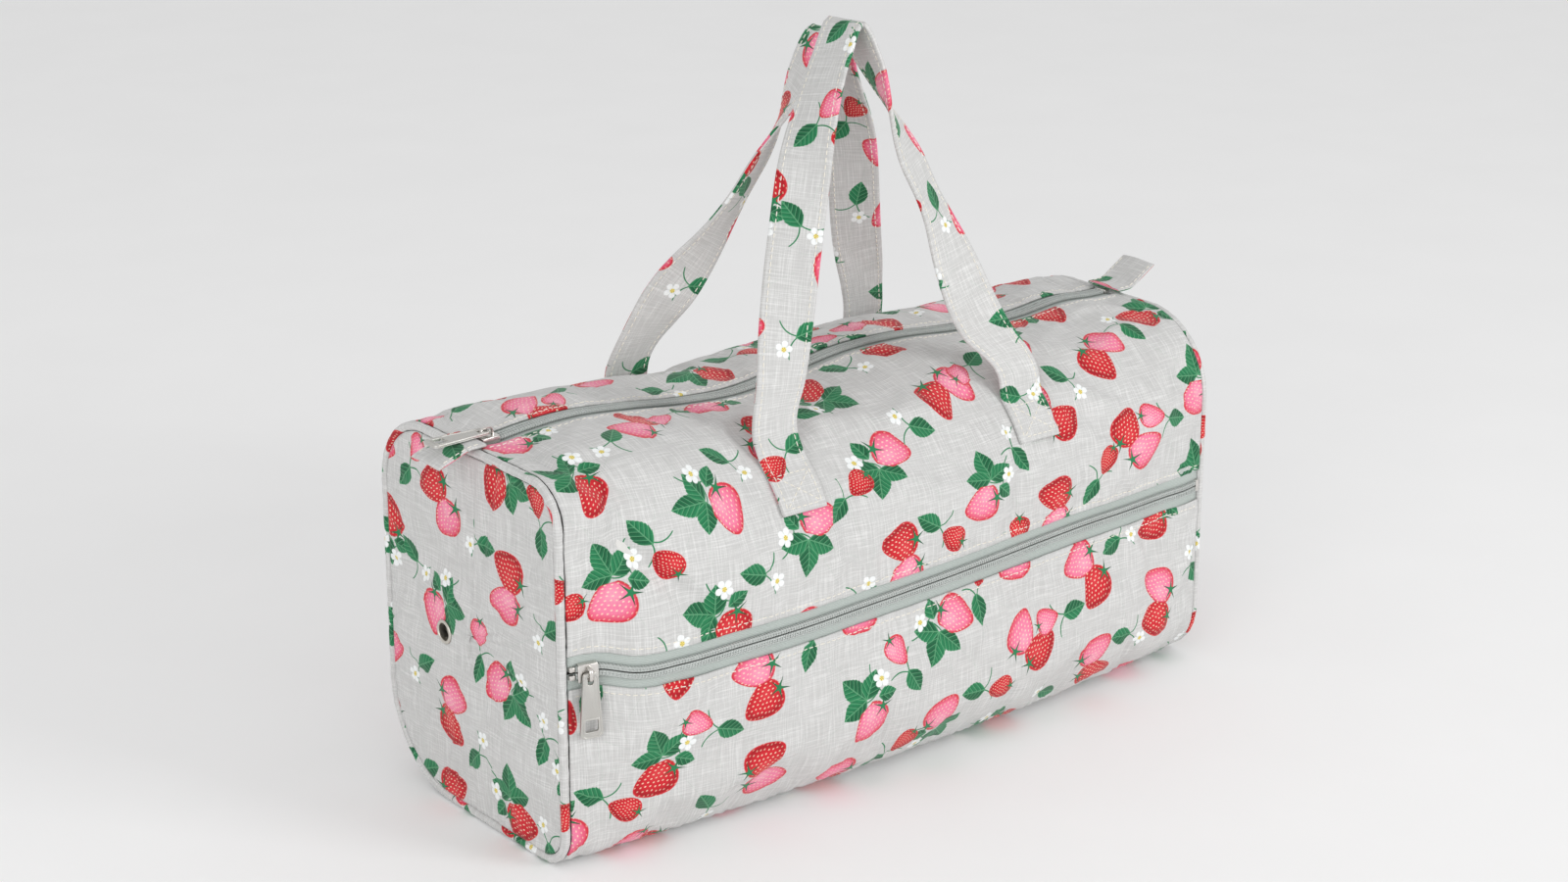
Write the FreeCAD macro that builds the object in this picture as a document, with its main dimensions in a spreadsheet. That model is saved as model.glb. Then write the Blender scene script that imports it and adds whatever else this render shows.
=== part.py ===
"""A printed fabric knitting bag: a long zipped duffle, a needle compartment, piped ends, two handles.

Millimetres. +X runs along the bag towards its right end, +Z is up, and -Y is the front with the
needle zip. The origin is the centre of the base, on the surface that the bag stands on.
"""

import FreeCAD
import Part
import Sketcher
import math
import os

from FreeCAD import Placement, Rotation, Vector

SHEET_ROWS = [
    ("bag_length", 440, "end seam to end seam, over the piping"),
    ("bag_height", 202, "base to the flat of the top"),
    ("end_front_depth", 80, "end panel, from the middle plane to the front"),
    ("end_back_depth", 80, "end panel, from the middle plane to the back"),
    ("middle_front_depth", 104, "the front bulges half-way along"),
    ("middle_back_depth", 94, "the back bulges less"),
    ("left_base_front_radius", 20, ""),
    ("left_base_back_radius", 54, ""),
    ("left_top_front_radius", 24, ""),
    ("left_top_back_radius", 40, ""),
    ("middle_base_front_radius", 42, ""),
    ("middle_base_back_radius", 50, ""),
    ("middle_top_front_radius", 80, "the cloth leans in under the handles"),
    ("middle_top_back_radius", 66, ""),
    ("right_base_front_radius", 30, ""),
    ("right_base_back_radius", 50, ""),
    ("right_top_front_radius", 46, ""),
    ("right_top_back_radius", 50, ""),
    ("cloth", 1.2, "printed cloth with its interlining"),
    ("layer_gap", 0.3, "air between neighbouring layers and between bodies"),
    ("base_trim", 0.4, "cut off under the base, which leaves it flat"),
    ("lining_inset", 3.0, "outer face of the lining, from the outer face of the bag"),
    ("lining_cloth", 0.6, ""),
    ("piping_radius", 2.3, "covered piping"),
    ("piping_cord_radius", 1.5, ""),
    ("end_panel_face", 1.0, "how far the end panel lies inside the piping"),
    ("zip_slot", 9, "half the width of tape that shows"),
    ("tape_half_width", 13, "from the middle of the zip to the tape's edge"),
    ("tape_inset", 1.5, "outer face of the tape below the bag's face"),
    ("tape_cloth", 0.8, ""),
    ("coil_reach", 211.7, "half the length of a coil"),
    ("coil_gap", 0.8, "half the slit that the slider's post runs in"),
    ("coil_width", 2.6, "one row"),
    ("coil_rise", 0.9, "how far a coil stands above the cloth"),
    ("stop_length", 3, ""),
    ("stop_rise", 0.7, ""),
    ("needle_zip_height", 106, "middle of the lower zip"),
    ("divider_depth", 57, "partition behind the needle compartment, in front of the middle plane"),
    ("divider_cloth", 0.8, ""),
    ("eyelet_back", 25, "eyelet, behind the middle plane"),
    ("eyelet_height", 95, ""),
    ("eyelet_hole", 4.6, "radius of the yarn hole"),
    ("eyelet_wall", 0.5, "thickness of the eyelet's barrel"),
    ("eyelet_flange", 6.5, "radius of the eyelet's rim"),
    ("handle_spread", 82, "middle of a handle to the middle of a foot"),
    ("rear_handle_shift", 13, "the rear handle is sewn on further right"),
    ("strap_width", 28, ""),
    ("strap_cloth", 2.6, "folded strap"),
    ("foot_bottom", 163, "lower end of a foot, above the base"),
    ("foot_top", 192, "last row of stitching"),
    ("handle_pivot_height", 195.5, "fold line above a foot"),
    ("pivot_depth", 72, "fold lines, off the middle plane"),
    ("front_apex_height", 385, "middle of the strap over the apex"),
    ("rear_apex_height", 374, ""),
    ("apex_depth", 15, "half the strap and a little air, off the middle plane"),
    ("tab_width", 25, ""),
    ("tab_cloth", 2, "folded tab"),
    ("tab_rise", 1, "underside of a tab above the cloth"),
    ("tab_root", 214, "where a tab is sewn down"),
    ("tab_pivot", 221, "where a tab starts to bend"),
    ("tab_length", 21, ""),
    ("slider_length", 11, ""),
    ("slider_width", 9.6, ""),
    ("slider_plate", 1.2, ""),
    ("slider_park", 206, "rest place of both sliders, left of the middle"),
    ("pull_axis_rise", 4.4, "pull's hinge above the cloth"),
    ("pull_length", 34, ""),
    ("pull_width", 12, ""),
    ("pull_thickness", 1.6, ""),
]

DOC = FreeCAD.newDocument("knitting_bag")
SHEET = DOC.addObject("Spreadsheet::Sheet", "Sizes")
NODES = []


class Size:
    """A number that keeps the sheet expression it was worked out from."""

    def __init__(self, value, text=None):
        self.value = float(value)
        self.text = repr(float(value)) if text is None else text

    def __add__(self, other):
        other = as_size(other)
        return Size(self.value + other.value, f"({self.text} + {other.text})")

    def __sub__(self, other):
        other = as_size(other)
        return Size(self.value - other.value, f"({self.text} - {other.text})")

    def __mul__(self, other):
        other = as_size(other)
        return Size(self.value * other.value, f"({self.text} * {other.text})")

    def __truediv__(self, other):
        other = as_size(other)
        return Size(self.value / other.value, f"({self.text} / {other.text})")

    def __radd__(self, other):
        return as_size(other) + self

    def __rsub__(self, other):
        return as_size(other) - self

    def __rmul__(self, other):
        return as_size(other) * self

    def __neg__(self):
        return Size(-self.value, f"(-1 * {self.text})")


def as_size(number):
    return number if isinstance(number, Size) else Size(number)


def fill_sheet():
    for row, (alias, value, note) in enumerate(SHEET_ROWS, start=1):
        SHEET.set(f"A{row}", alias)
        SHEET.set(f"B{row}", str(value))
        SHEET.setAlias(f"B{row}", alias)
        SHEET.set(f"C{row}", note)
    DOC.recompute()


def size(alias):
    return Size(float(SHEET.get(alias)), f"Sizes.{alias}")


def bind(thing, prop, amount):
    thing.setExpression(prop, as_size(amount).text)


def place(thing, x, y, z):
    for axis, amount in zip("xyz", (x, y, z)):
        bind(thing, f"Placement.Base.{axis}", amount)


def node(thing, label):
    thing.Label = label
    NODES.append(thing)
    return thing


# ---- sketches and features ----


def new_body(name):
    return DOC.addObject("PartDesign::Body", name)


def origin_plane(body, role):
    return next(feature for feature in body.Origin.OriginFeatures if feature.Role == role)


def new_sketch(body, name, role, offset=0):
    sketch = body.newObject("Sketcher::SketchObject", name)
    sketch.AttachmentSupport = [(origin_plane(body, role), "")]
    sketch.MapMode = "FlatFace"
    bind(sketch, "AttachmentOffset.Base.z", offset)
    return sketch


def hold(sketch, kind, *where, amount):
    """Adds a dimension bound to the sheet. A negative one is measured the other way round."""
    amount = as_size(amount)
    if kind in ("DistanceX", "DistanceY"):
        geometry, point = where
        ends = (-1, 1, geometry, point) if amount.value >= 0 else (geometry, point, -1, 1)
        amount = amount if amount.value >= 0 else -amount
        index = sketch.addConstraint(Sketcher.Constraint(kind, *ends, amount.value))
    else:
        index = sketch.addConstraint(Sketcher.Constraint(kind, *where, amount.value))
    sketch.setExpression(f"Constraints[{index}]", amount.text)


def polygon(sketch, points):
    """A closed polygon whose every corner is dimensioned from the sketch's origin."""
    count = len(points)
    corners = [Vector(as_size(x).value, as_size(y).value, 0) for x, y in points]
    for i in range(count):
        sketch.addGeometry(Part.LineSegment(corners[i], corners[(i + 1) % count]), False)
    for i in range(count):
        sketch.addConstraint(Sketcher.Constraint("Coincident", i, 2, (i + 1) % count, 1))
        hold(sketch, "DistanceX", i, 1, amount=points[i][0])
        hold(sketch, "DistanceY", i, 1, amount=points[i][1])
    return sketch


def circle(sketch, x, y, radius):
    centre = Vector(as_size(x).value, as_size(y).value, 0)
    index = sketch.addGeometry(Part.Circle(centre, Vector(0, 0, 1), as_size(radius).value), False)
    hold(sketch, "DistanceX", index, 3, amount=x)
    hold(sketch, "DistanceY", index, 3, amount=y)
    hold(sketch, "Radius", index, amount=radius)


def pad(body, sketch, length, both_ways=False):
    feature = body.newObject("PartDesign::Pad", sketch.Name + "_pad")
    feature.Profile = sketch
    feature.Midplane = both_ways
    bind(feature, "Length", length)
    return feature


def pocket(body, sketch, length):
    """A pocket of that whole length, half to each side of its sketch."""
    feature = body.newObject("PartDesign::Pocket", sketch.Name + "_pocket")
    feature.Profile = sketch
    feature.Midplane = True
    bind(feature, "Length", length)
    return feature


def loaf_outline(sketch, station, inset, drop=0):
    """The bag's cross-section at a station: straight sides and four corner radii, moved in by inset."""
    ends = "middle" if station == "middle" else "end"
    front = size(f"{ends}_front_depth") - inset
    back = size(f"{ends}_back_depth") - inset
    low = as_size(inset) - drop
    high = size("bag_height") - inset
    radii = [
        size(f"{station}_{corner}_radius") - inset
        for corner in ("base_front", "base_back", "top_back", "top_front")
    ]
    f, b, lo, hi = front.value, back.value, low.value, high.value
    r = [radius.value for radius in radii]
    lines = [
        ((-f + r[0], lo), (b - r[1], lo)),
        ((b, lo + r[1]), (b, hi - r[2])),
        ((b - r[2], hi), (-f + r[3], hi)),
        ((-f, hi - r[3]), (-f, lo + r[0])),
    ]
    centres = [
        (b - r[1], lo + r[1]),
        (b - r[2], hi - r[2]),
        (-f + r[3], hi - r[3]),
        (-f + r[0], lo + r[0]),
    ]
    turns = [(r[1], -90), (r[2], 0), (r[3], 90), (r[0], 180)]
    for (start, end), centre, (radius, angle) in zip(lines, centres, turns):
        sketch.addGeometry(Part.LineSegment(Vector(*start, 0), Vector(*end, 0)), False)
        ring = Part.Circle(Vector(*centre, 0), Vector(0, 0, 1), radius)
        sketch.addGeometry(Part.ArcOfCircle(ring, math.radians(angle), math.radians(angle + 90)), False)
    for i in range(8):
        sketch.addConstraint(Sketcher.Constraint("Tangent", i, 2, (i + 1) % 8, 1))
    for line in (0, 4):
        sketch.addConstraint(Sketcher.Constraint("Horizontal", line))
    for line in (2, 6):
        sketch.addConstraint(Sketcher.Constraint("Vertical", line))
    for arc, radius in zip((1, 3, 5, 7), (radii[1], radii[2], radii[3], radii[0])):
        hold(sketch, "Radius", arc, amount=radius)
    hold(sketch, "DistanceY", 0, 1, amount=low)
    hold(sketch, "DistanceX", 2, 1, amount=back)
    hold(sketch, "DistanceY", 4, 1, amount=high)
    hold(sketch, "DistanceX", 6, 1, amount=-front)
    return sketch


def loaf(body, kind, inset, reach, drop=0):
    """A loft along the bag through its left, middle and right cross-sections."""
    sections = []
    for station, along in (("left", -as_size(reach)), ("middle", 0), ("right", as_size(reach))):
        sketch = new_sketch(body, f"{body.Name}_{kind}_{station}", "YZ_Plane", along)
        sections.append(loaf_outline(sketch, station, inset, drop))
    DOC.recompute()
    feature = body.newObject(f"PartDesign::{kind}", f"{body.Name}_{kind}")
    feature.Profile = sections[0]
    feature.Sections = sections[1:]
    return feature


def shell(body, outer, inner, reach, cap=0, drop=0):
    """A hollow loaf. With a cap its ends are closed by that much cloth, and without one they are open."""
    loaf(body, "AdditiveLoft", outer, reach, drop)
    hollow = as_size(reach) - cap if cap else as_size(reach) + 1
    loaf(body, "SubtractiveLoft", inner, hollow)
    return body


def cut_along(body, name, points):
    """Takes a prism off the whole length of a body. The points are (y, z)."""
    return pocket(body, polygon(new_sketch(body, name, "YZ_Plane"), points), size("bag_length") * 2)


def box(name, corner, sides):
    thing = DOC.addObject("Part::Box", name)
    place(thing, *corner)
    for prop, amount in zip(("Length", "Width", "Height"), sides):
        bind(thing, prop, amount)
    return thing


def compound(label, links):
    thing = DOC.addObject("Part::Compound", label)
    thing.Links = links
    return node(thing, label)


def common(label, base, tool):
    thing = DOC.addObject("Part::Common", label)
    thing.Base = base
    thing.Tool = tool
    return node(thing, label)


# ---- the bag's cloth ----

BEYOND = 400


def shell_reach():
    """Half the length of the cloth between the two rows of piping."""
    return size("bag_length") / 2 - 2 * size("piping_radius") - size("layer_gap")


def make_front_upper_panel():
    body = node(new_body("front_upper_panel"), "front_upper_panel")
    shell(body, 0, size("cloth"), shell_reach())
    edge = size("needle_zip_height") + size("zip_slot")
    side = -size("zip_slot")
    corners = [
        (-BEYOND, -BEYOND),
        (BEYOND, -BEYOND),
        (BEYOND, BEYOND),
        (side, BEYOND),
        (side, edge),
        (-BEYOND, edge),
    ]
    cut_along(body, "front_upper_rest", corners)


def make_back_and_base_panel():
    body = node(new_body("back_and_base_panel"), "back_and_base_panel")
    shell(body, 0, size("cloth"), shell_reach(), drop=size("base_trim"))
    edge = size("needle_zip_height") - size("zip_slot")
    side = size("zip_slot")
    cut_along(body, "front_of_zips", [(-BEYOND, edge), (side, edge), (side, BEYOND), (-BEYOND, BEYOND)])
    cut_along(body, "under_base", [(-BEYOND, -BEYOND), (BEYOND, -BEYOND), (BEYOND, 0), (-BEYOND, 0)])


def make_end_panel(side, sign):
    body = node(new_body(f"{side}_end_panel"), f"{side}_end_panel")
    face = size("bag_length") / 2 - size("end_panel_face")
    start = -face if sign < 0 else face - size("cloth")
    sketch = new_sketch(body, f"{side}_end_outline", "YZ_Plane", start)
    inset = 2 * size("piping_radius") + size("layer_gap")
    pad(body, loaf_outline(sketch, side, inset), size("cloth"))
    if sign < 0:
        punch_eyelet_hole(body)


def punch_eyelet_hole(body):
    """A hole through the cloth at the left end, a little larger than the eyelet's barrel."""
    sketch = new_sketch(body, f"{body.Name}_hole", "YZ_Plane", -size("bag_length") / 2)
    clear = size("eyelet_hole") + size("eyelet_wall") + 0.1
    circle(sketch, size("eyelet_back"), size("eyelet_height"), clear)
    pocket(body, sketch, 20)


def make_piping(side, sign):
    """Covered piping round an end panel: a cord in a tube of cloth."""
    label = f"{side}_piping"
    cover = node(new_body(label), label)
    piping_sweep(cover, "Additive", side, sign, size("piping_radius"))
    piping_sweep(cover, "Subtractive", side, sign, size("piping_cord_radius") + 0.1)
    label = f"{side}_piping_cord"
    cord = node(new_body(label), label)
    piping_sweep(cord, "Additive", side, sign, size("piping_cord_radius"))


def piping_sweep(body, kind, side, sign, radius):
    """A round section swept round the end seam."""
    along = sign * (size("bag_length") / 2 - size("piping_radius"))
    spine = new_sketch(body, f"{body.Name}_{kind}_line", "YZ_Plane", along)
    loaf_outline(spine, side, size("piping_radius"))
    start = size("end_front_depth") - size(f"{side}_base_front_radius")
    ring = new_sketch(body, f"{body.Name}_{kind}_ring", "XZ_Plane", start)
    circle(ring, along, size("piping_radius"), radius)
    DOC.recompute()
    pipe = body.newObject(f"PartDesign::{kind}Pipe", f"{body.Name}_{kind}_pipe")
    pipe.Profile = ring
    pipe.Spine = (spine, [f"Edge{i}" for i in range(1, 9)])


def make_linings():
    inset = size("lining_inset")
    cloth = size("lining_cloth")
    reach = shell_reach()
    front = -size("divider_depth")
    ledge = size("needle_zip_height") + size("tape_half_width") + 2
    main = node(new_body("main_lining"), "main_lining")
    shell(main, inset, inset + cloth, reach, cap=cloth)
    slot = size("zip_slot") - 1
    under_top = size("bag_height") - inset - cloth - 0.2
    corners = [(-slot, under_top), (slot, under_top), (slot, BEYOND), (-slot, BEYOND)]
    cut_along(main, "lining_mouth", corners)
    corners = [(-BEYOND, -BEYOND), (front, -BEYOND), (front, ledge), (-BEYOND, ledge)]
    cut_along(main, "needle_side", corners)
    punch_eyelet_hole(main)
    pouch = node(new_body("needle_lining"), "needle_lining")
    shell(pouch, inset, inset + cloth, reach, cap=cloth)
    top = size("needle_zip_height") - size("tape_half_width") + 2
    edge = front - 1.2
    corners = [
        (edge, -BEYOND),
        (BEYOND, -BEYOND),
        (BEYOND, BEYOND),
        (-BEYOND, BEYOND),
        (-BEYOND, top),
        (edge, top),
    ]
    cut_along(pouch, "main_side", corners)


def make_needle_divider():
    """The partition of the needle compartment: up behind the needles, then forward over the zip."""
    inset = size("lining_inset") + size("lining_cloth") + size("layer_gap")
    inside = new_body("inside_of_linings")
    loaf(inside, "AdditiveLoft", inset, shell_reach() - size("lining_cloth") - size("layer_gap"))
    sheet = new_body("divider_sheet")
    cloth = size("divider_cloth")
    front = -size("divider_depth")
    ledge = size("needle_zip_height") + size("tape_half_width") + 0.8
    corners = [
        (front, 0),
        (front, ledge + cloth),
        (-BEYOND, ledge + cloth),
        (-BEYOND, ledge),
        (front - cloth, ledge),
        (front - cloth, 0),
    ]
    sketch = polygon(new_sketch(sheet, "divider_section", "YZ_Plane"), corners)
    pad(sheet, sketch, size("bag_length"), both_ways=True)
    common("needle_divider", sheet, inside)


# ---- zips ----


def bow_radius():
    """Radius of the front's curve in plan, through both ends and the middle of its bulge."""
    bulge = size("middle_front_depth") - size("end_front_depth")
    return (shell_reach() * shell_reach() + bulge * bulge) / (2 * bulge)


def bow_strip(name, x_from, x_to, outset, inset, z_from, z_to):
    """A curved strip along the front, between two distances from the bag's face and two heights."""
    body = new_body(name)
    sketch = new_sketch(body, f"{name}_plan", "XY_Plane", z_from)
    radius = bow_radius()
    centre_y = radius - size("middle_front_depth")
    centre = Vector(0, centre_y.value, 0)
    radii = (radius + outset, radius - inset)
    xs = [as_size(x_from).value, as_size(x_to).value]
    for curve in radii:
        ring = Part.Circle(centre, Vector(0, 0, 1), curve.value)
        angles = [-math.pi / 2 + math.asin(x / curve.value) for x in xs]
        sketch.addGeometry(Part.ArcOfCircle(ring, *angles), False)
    for x, point in ((x_from, 1), (x_to, 2)):
        ends = [
            Vector(as_size(x).value, centre.y - math.sqrt(curve.value**2 - as_size(x).value ** 2), 0)
            for curve in radii
        ]
        line = sketch.addGeometry(Part.LineSegment(*ends), False)
        sketch.addConstraint(Sketcher.Constraint("Coincident", 0, point, line, 1))
        sketch.addConstraint(Sketcher.Constraint("Coincident", 1, point, line, 2))
        sketch.addConstraint(Sketcher.Constraint("Vertical", line))
        hold(sketch, "DistanceX", line, 1, amount=x)
    sketch.addConstraint(Sketcher.Constraint("Coincident", 1, 3, 0, 3))
    sketch.addConstraint(Sketcher.Constraint("PointOnObject", 0, 3, -2))
    hold(sketch, "DistanceY", 0, 3, amount=centre_y)
    hold(sketch, "Radius", 0, amount=radii[0])
    hold(sketch, "Radius", 1, amount=radii[1])
    pad(body, sketch, as_size(z_to) - z_from)
    return body


def zip_rows():
    """The two rows of a zip, as distances from its middle: (from, to) for the tape and for the coil."""
    gap = size("coil_gap")
    return (gap, size("tape_half_width")), (gap, gap + size("coil_width"))


def make_top_zip():
    high = size("bag_height")
    tape, coil = zip_rows()
    seam = shell_reach() - 0.2
    reach = size("coil_reach")
    under = high - size("tape_inset")
    for side, sign in (("front", -1), ("rear", 1)):
        near, far = (-tape[1], tape[0]) if sign < 0 else tape
        strip = box(
            f"top_zip_tape_{side}",
            (-seam, near, under - size("tape_cloth")),
            (2 * seam, tape[1] - tape[0], size("tape_cloth")),
        )
        node(strip, f"top_zip_tape_{side}")
        near = -coil[1] if sign < 0 else coil[0]
        row = box(
            f"top_zip_coil_{side}",
            (-reach, near, under),
            (2 * reach, size("coil_width"), size("tape_inset") + size("coil_rise")),
        )
        node(row, f"top_zip_coil_{side}")
    length = size("stop_length")
    rise = size("tape_inset") + size("stop_rise")
    start = reach + size("layer_gap")
    crimps = [
        box(f"top_stop_{i}", (-start - length, near, under), (length, size("coil_width"), rise))
        for i, near in enumerate((-coil[1], coil[0]))
    ]
    crimps.append(box("top_end_stop", (start, -coil[1], under), (length, 2 * coil[1], rise)))
    compound("top_zip_stops", crimps)


def make_needle_zip():
    middle = size("needle_zip_height")
    tape, coil = zip_rows()
    seam = shell_reach() - 0.2
    reach = size("coil_reach")
    sunk = size("tape_inset")
    for side, sign in (("lower", -1), ("upper", 1)):
        low, high = sorted((middle + sign * tape[0], middle + sign * tape[1]), key=lambda z: z.value)
        label = f"needle_zip_tape_{side}"
        node(bow_strip(label, -seam, seam, -sunk, sunk + size("tape_cloth"), low, high), label)
        low, high = sorted((middle + sign * coil[0], middle + sign * coil[1]), key=lambda z: z.value)
        label = f"needle_zip_coil_{side}"
        node(bow_strip(label, -reach, reach, size("coil_rise"), sunk, low, high), label)
    start = reach + size("layer_gap")
    end = start + size("stop_length")
    rise = size("stop_rise")
    crimps = [
        bow_strip("needle_stop_lower", -end, -start, rise, sunk, middle - coil[1], middle - coil[0]),
        bow_strip("needle_stop_upper", -end, -start, rise, sunk, middle + coil[0], middle + coil[1]),
        bow_strip("needle_end_stop", start, end, rise, sunk, middle - coil[1], middle + coil[1]),
    ]
    compound("needle_zip_stops", crimps)


# ---- sliders and pulls: x along the zip, y across it, z out of the bag's face ----


def block(body, name, kind, corner, sides):
    feature = body.newObject(f"PartDesign::{kind}Box", name)
    place(feature, *corner)
    for prop, amount in zip(("Length", "Width", "Height"), sides):
        bind(feature, prop, amount)
    return feature


def make_slider(label, bail_across):
    """Two plates joined by a post that runs between the coils, with a bail for the pull on top."""
    body = node(new_body(label), label)
    gap = size("layer_gap")
    plate = size("slider_plate")
    half = size("slider_length") / 2
    wide = size("slider_width") / 2
    roof = size("coil_rise") + gap
    floor = -size("tape_inset") - size("tape_cloth") - gap
    flange = size("slider_plate") * 2 / 3
    flange_foot = -size("tape_inset") + gap
    block(body, f"{label}_roof", "Additive", (-half, -wide, roof), (2 * half, 2 * wide, plate))
    for name, near in (("front", -wide), ("rear", wide - flange)):
        sides = (2 * half, flange, roof - flange_foot)
        block(body, f"{label}_flange_{name}", "Additive", (-half, near, flange_foot), sides)
    post = (3, size("coil_gap") * 2 - 2 * gap, roof - floor)
    block(body, f"{label}_post", "Additive", (-half, gap - size("coil_gap"), floor), post)
    block(body, f"{label}_floor", "Additive", (-half, -wide, floor - plate), (2 * half, 2 * wide, plate))
    top = roof + plate
    outer = (8, 2.2, 4.4)
    inner = (5.2, 6, 3.2)
    if bail_across:
        outer = (outer[1], outer[0], outer[2])
        inner = (inner[1], inner[0], inner[2])
    block(body, f"{label}_bail", "Additive", (-outer[0] / 2, -outer[1] / 2, top), outer)
    block(body, f"{label}_bail_eye", "Subtractive", (-inner[0] / 2, -inner[1] / 2, top), inner)
    return body


def make_pull(label):
    """A flat pull along -x from its hinge at the origin, with an eye and a window near its end."""
    body = node(new_body(label), label)
    length = size("pull_length")
    wide = size("pull_width")
    thick = size("pull_thickness")
    back = 0.8
    block(body, f"{label}_plate", "Additive", (back - length, -wide / 2, -thick / 2), (length, wide, thick))
    block(body, f"{label}_notch", "Subtractive", (0.6, -1.5, -thick), (back, 3, 2 * thick))
    block(body, f"{label}_eye", "Subtractive", (-5.2, -1.5, -thick), (4.6, 3, 2 * thick))
    window = (6, 7)
    start = back + 3.4 - length
    block(body, f"{label}_window", "Subtractive", (start, -window[1] / 2, -thick), (*window, 2 * thick))
    return body


def needle_frame():
    """From the sliders' frame to the needle zip's left end, facing out of the front."""
    radius = bow_radius().value
    centre = Vector(0, radius - size("middle_front_depth").value, 0)
    turn = math.degrees(math.asin(size("slider_park").value / radius))
    face = Placement(Vector(0, -radius, size("needle_zip_height").value), Rotation(Vector(1, 0, 0), 90))
    bow = Placement(centre, Rotation(Vector(0, 0, 1), -turn))
    return bow * face


def make_sliders():
    park = -size("slider_park")
    high = size("bag_height")
    place(make_slider("top_slider", bail_across=False), park, 0, high)
    place(make_pull("top_pull"), park, 0, high + size("pull_axis_rise"))
    make_slider("needle_slider", bail_across=True).Placement = needle_frame()
    hinge = Placement(Vector(0, 0, size("pull_axis_rise").value), Rotation(Vector(0, 0, 1), 90))
    make_pull("needle_pull").Placement = needle_frame() * hinge


# ---- eyelet, handles and tabs ----


def turned(label, points):
    """A ring turned about a line along X at the eyelet's place. The points are (x, radius)."""
    body = node(new_body(label), label)
    sketch = polygon(new_sketch(body, f"{label}_section", "XY_Plane"), points)
    ring = body.newObject("PartDesign::Revolution", f"{label}_ring")
    ring.Profile = sketch
    ring.ReferenceAxis = (sketch, ["H_Axis"])
    ring.Angle = 360
    place(body, 0, size("eyelet_back"), size("eyelet_height"))


def make_eyelet():
    face = -size("bag_length") / 2 + size("end_panel_face")
    lining = -shell_reach() + size("lining_cloth")
    hole = size("eyelet_hole")
    barrel = hole + size("eyelet_wall")
    rim = size("eyelet_flange")
    washer = 0.7
    back = lining + 0.1 + washer
    section = [
        (back + 0.6, hole),
        (face - 0.7, hole),
        (face - 1, hole + 0.4),
        (face - 1, rim - 0.8),
        (face - 0.5, rim),
        (face, rim),
        (face, barrel),
        (back, barrel),
        (back, barrel + 0.7),
        (back + 0.6, barrel + 0.5),
    ]
    turned("yarn_eyelet", section)
    flat = [(lining + 0.1, barrel + 0.1), (lining + 0.1, rim), (back, rim), (back, barrel + 0.1)]
    turned("yarn_eyelet_washer", flat)


def make_handle_feet():
    """Each foot is the end of a handle, sewn flat against the cloth."""
    form = new_body("foot_form")
    shell(form, -size("layer_gap") - size("strap_cloth"), -size("layer_gap"), shell_reach())
    low = size("foot_bottom")
    tall = size("foot_top") - low
    wide = size("strap_width")
    rows = (("front", -BEYOND, 0), ("rear", 40, size("rear_handle_shift")))
    for face, near, shift in rows:
        for side, sign in (("left", -1), ("right", 1)):
            start = sign * size("handle_spread") - wide / 2 + shift
            name = f"{face}_handle_{side}_foot"
            region = box(f"{name}_region", (start, near, low), (wide, BEYOND - 40, tall))
            common(name, form, region)


FRONT_LIE = [
    (-1.0, 0.0),
    (-0.88, 0.14),
    (-0.6, 0.46),
    (-0.28, 0.766),
    (-0.07, 0.915),
    (0.12, 1.0),
    (0.245, 0.915),
    (0.36, 0.75),
    (0.56, 0.46),
    (0.78, 0.15),
    (1.0, 0.0),
]
REAR_LIE = [
    (-1.0, 0.0),
    (-0.85, 0.15),
    (-0.53, 0.36),
    (-0.2, 0.65),
    (-0.03, 0.87),
    (0.11, 1.0),
    (0.27, 0.88),
    (0.47, 0.68),
    (0.8, 0.25),
    (0.93, 0.1),
    (1.0, 0.0),
]


def ease(share):
    """A smooth step from 0 to 1."""
    share = min(1.0, max(0.0, share))
    return share * share * (3 - 2 * share)


def strap_turn(share, steady):
    """How far a leg of a strap has turned, from 0 at its foot to 1, face up, at the apex.

    The steady leg turns one way all along. The other turns back a little above its foot first.
    """
    if steady:
        return 0.42 * ease(share / 0.45) + 0.58 * ease((share - 0.5) / 0.4)
    return -0.2 * ease(share / 0.2) + 0.5 * ease((share - 0.2) / 0.35) + 0.7 * ease((share - 0.6) / 0.35)


def strap_corner(curve, apex_at, at, face_sign, across, through):
    """One corner of a strap's section: across and through are -1 or 1."""
    first, last = curve.FirstParameter, curve.LastParameter
    if at <= apex_at:
        share = (at - first) / (apex_at - first)
        turn = math.pi / 2 * strap_turn(share, steady=face_sign < 0)
    else:
        share = (last - at) / (last - apex_at)
        turn = math.pi - math.pi / 2 * strap_turn(share, steady=face_sign > 0)
    along = curve.tangent(at)[0]
    width = Vector(math.cos(turn), face_sign * math.sin(turn), 0)
    width = (width - along * (width.dot(along) * ease(share / 0.3))).normalize()
    normal = along.cross(width).normalize()
    half_width = size("strap_width").value / 2
    half_cloth = size("strap_cloth").value / 2
    return curve.value(at) + width * (half_width * across) + normal * (half_cloth * through)


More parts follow.
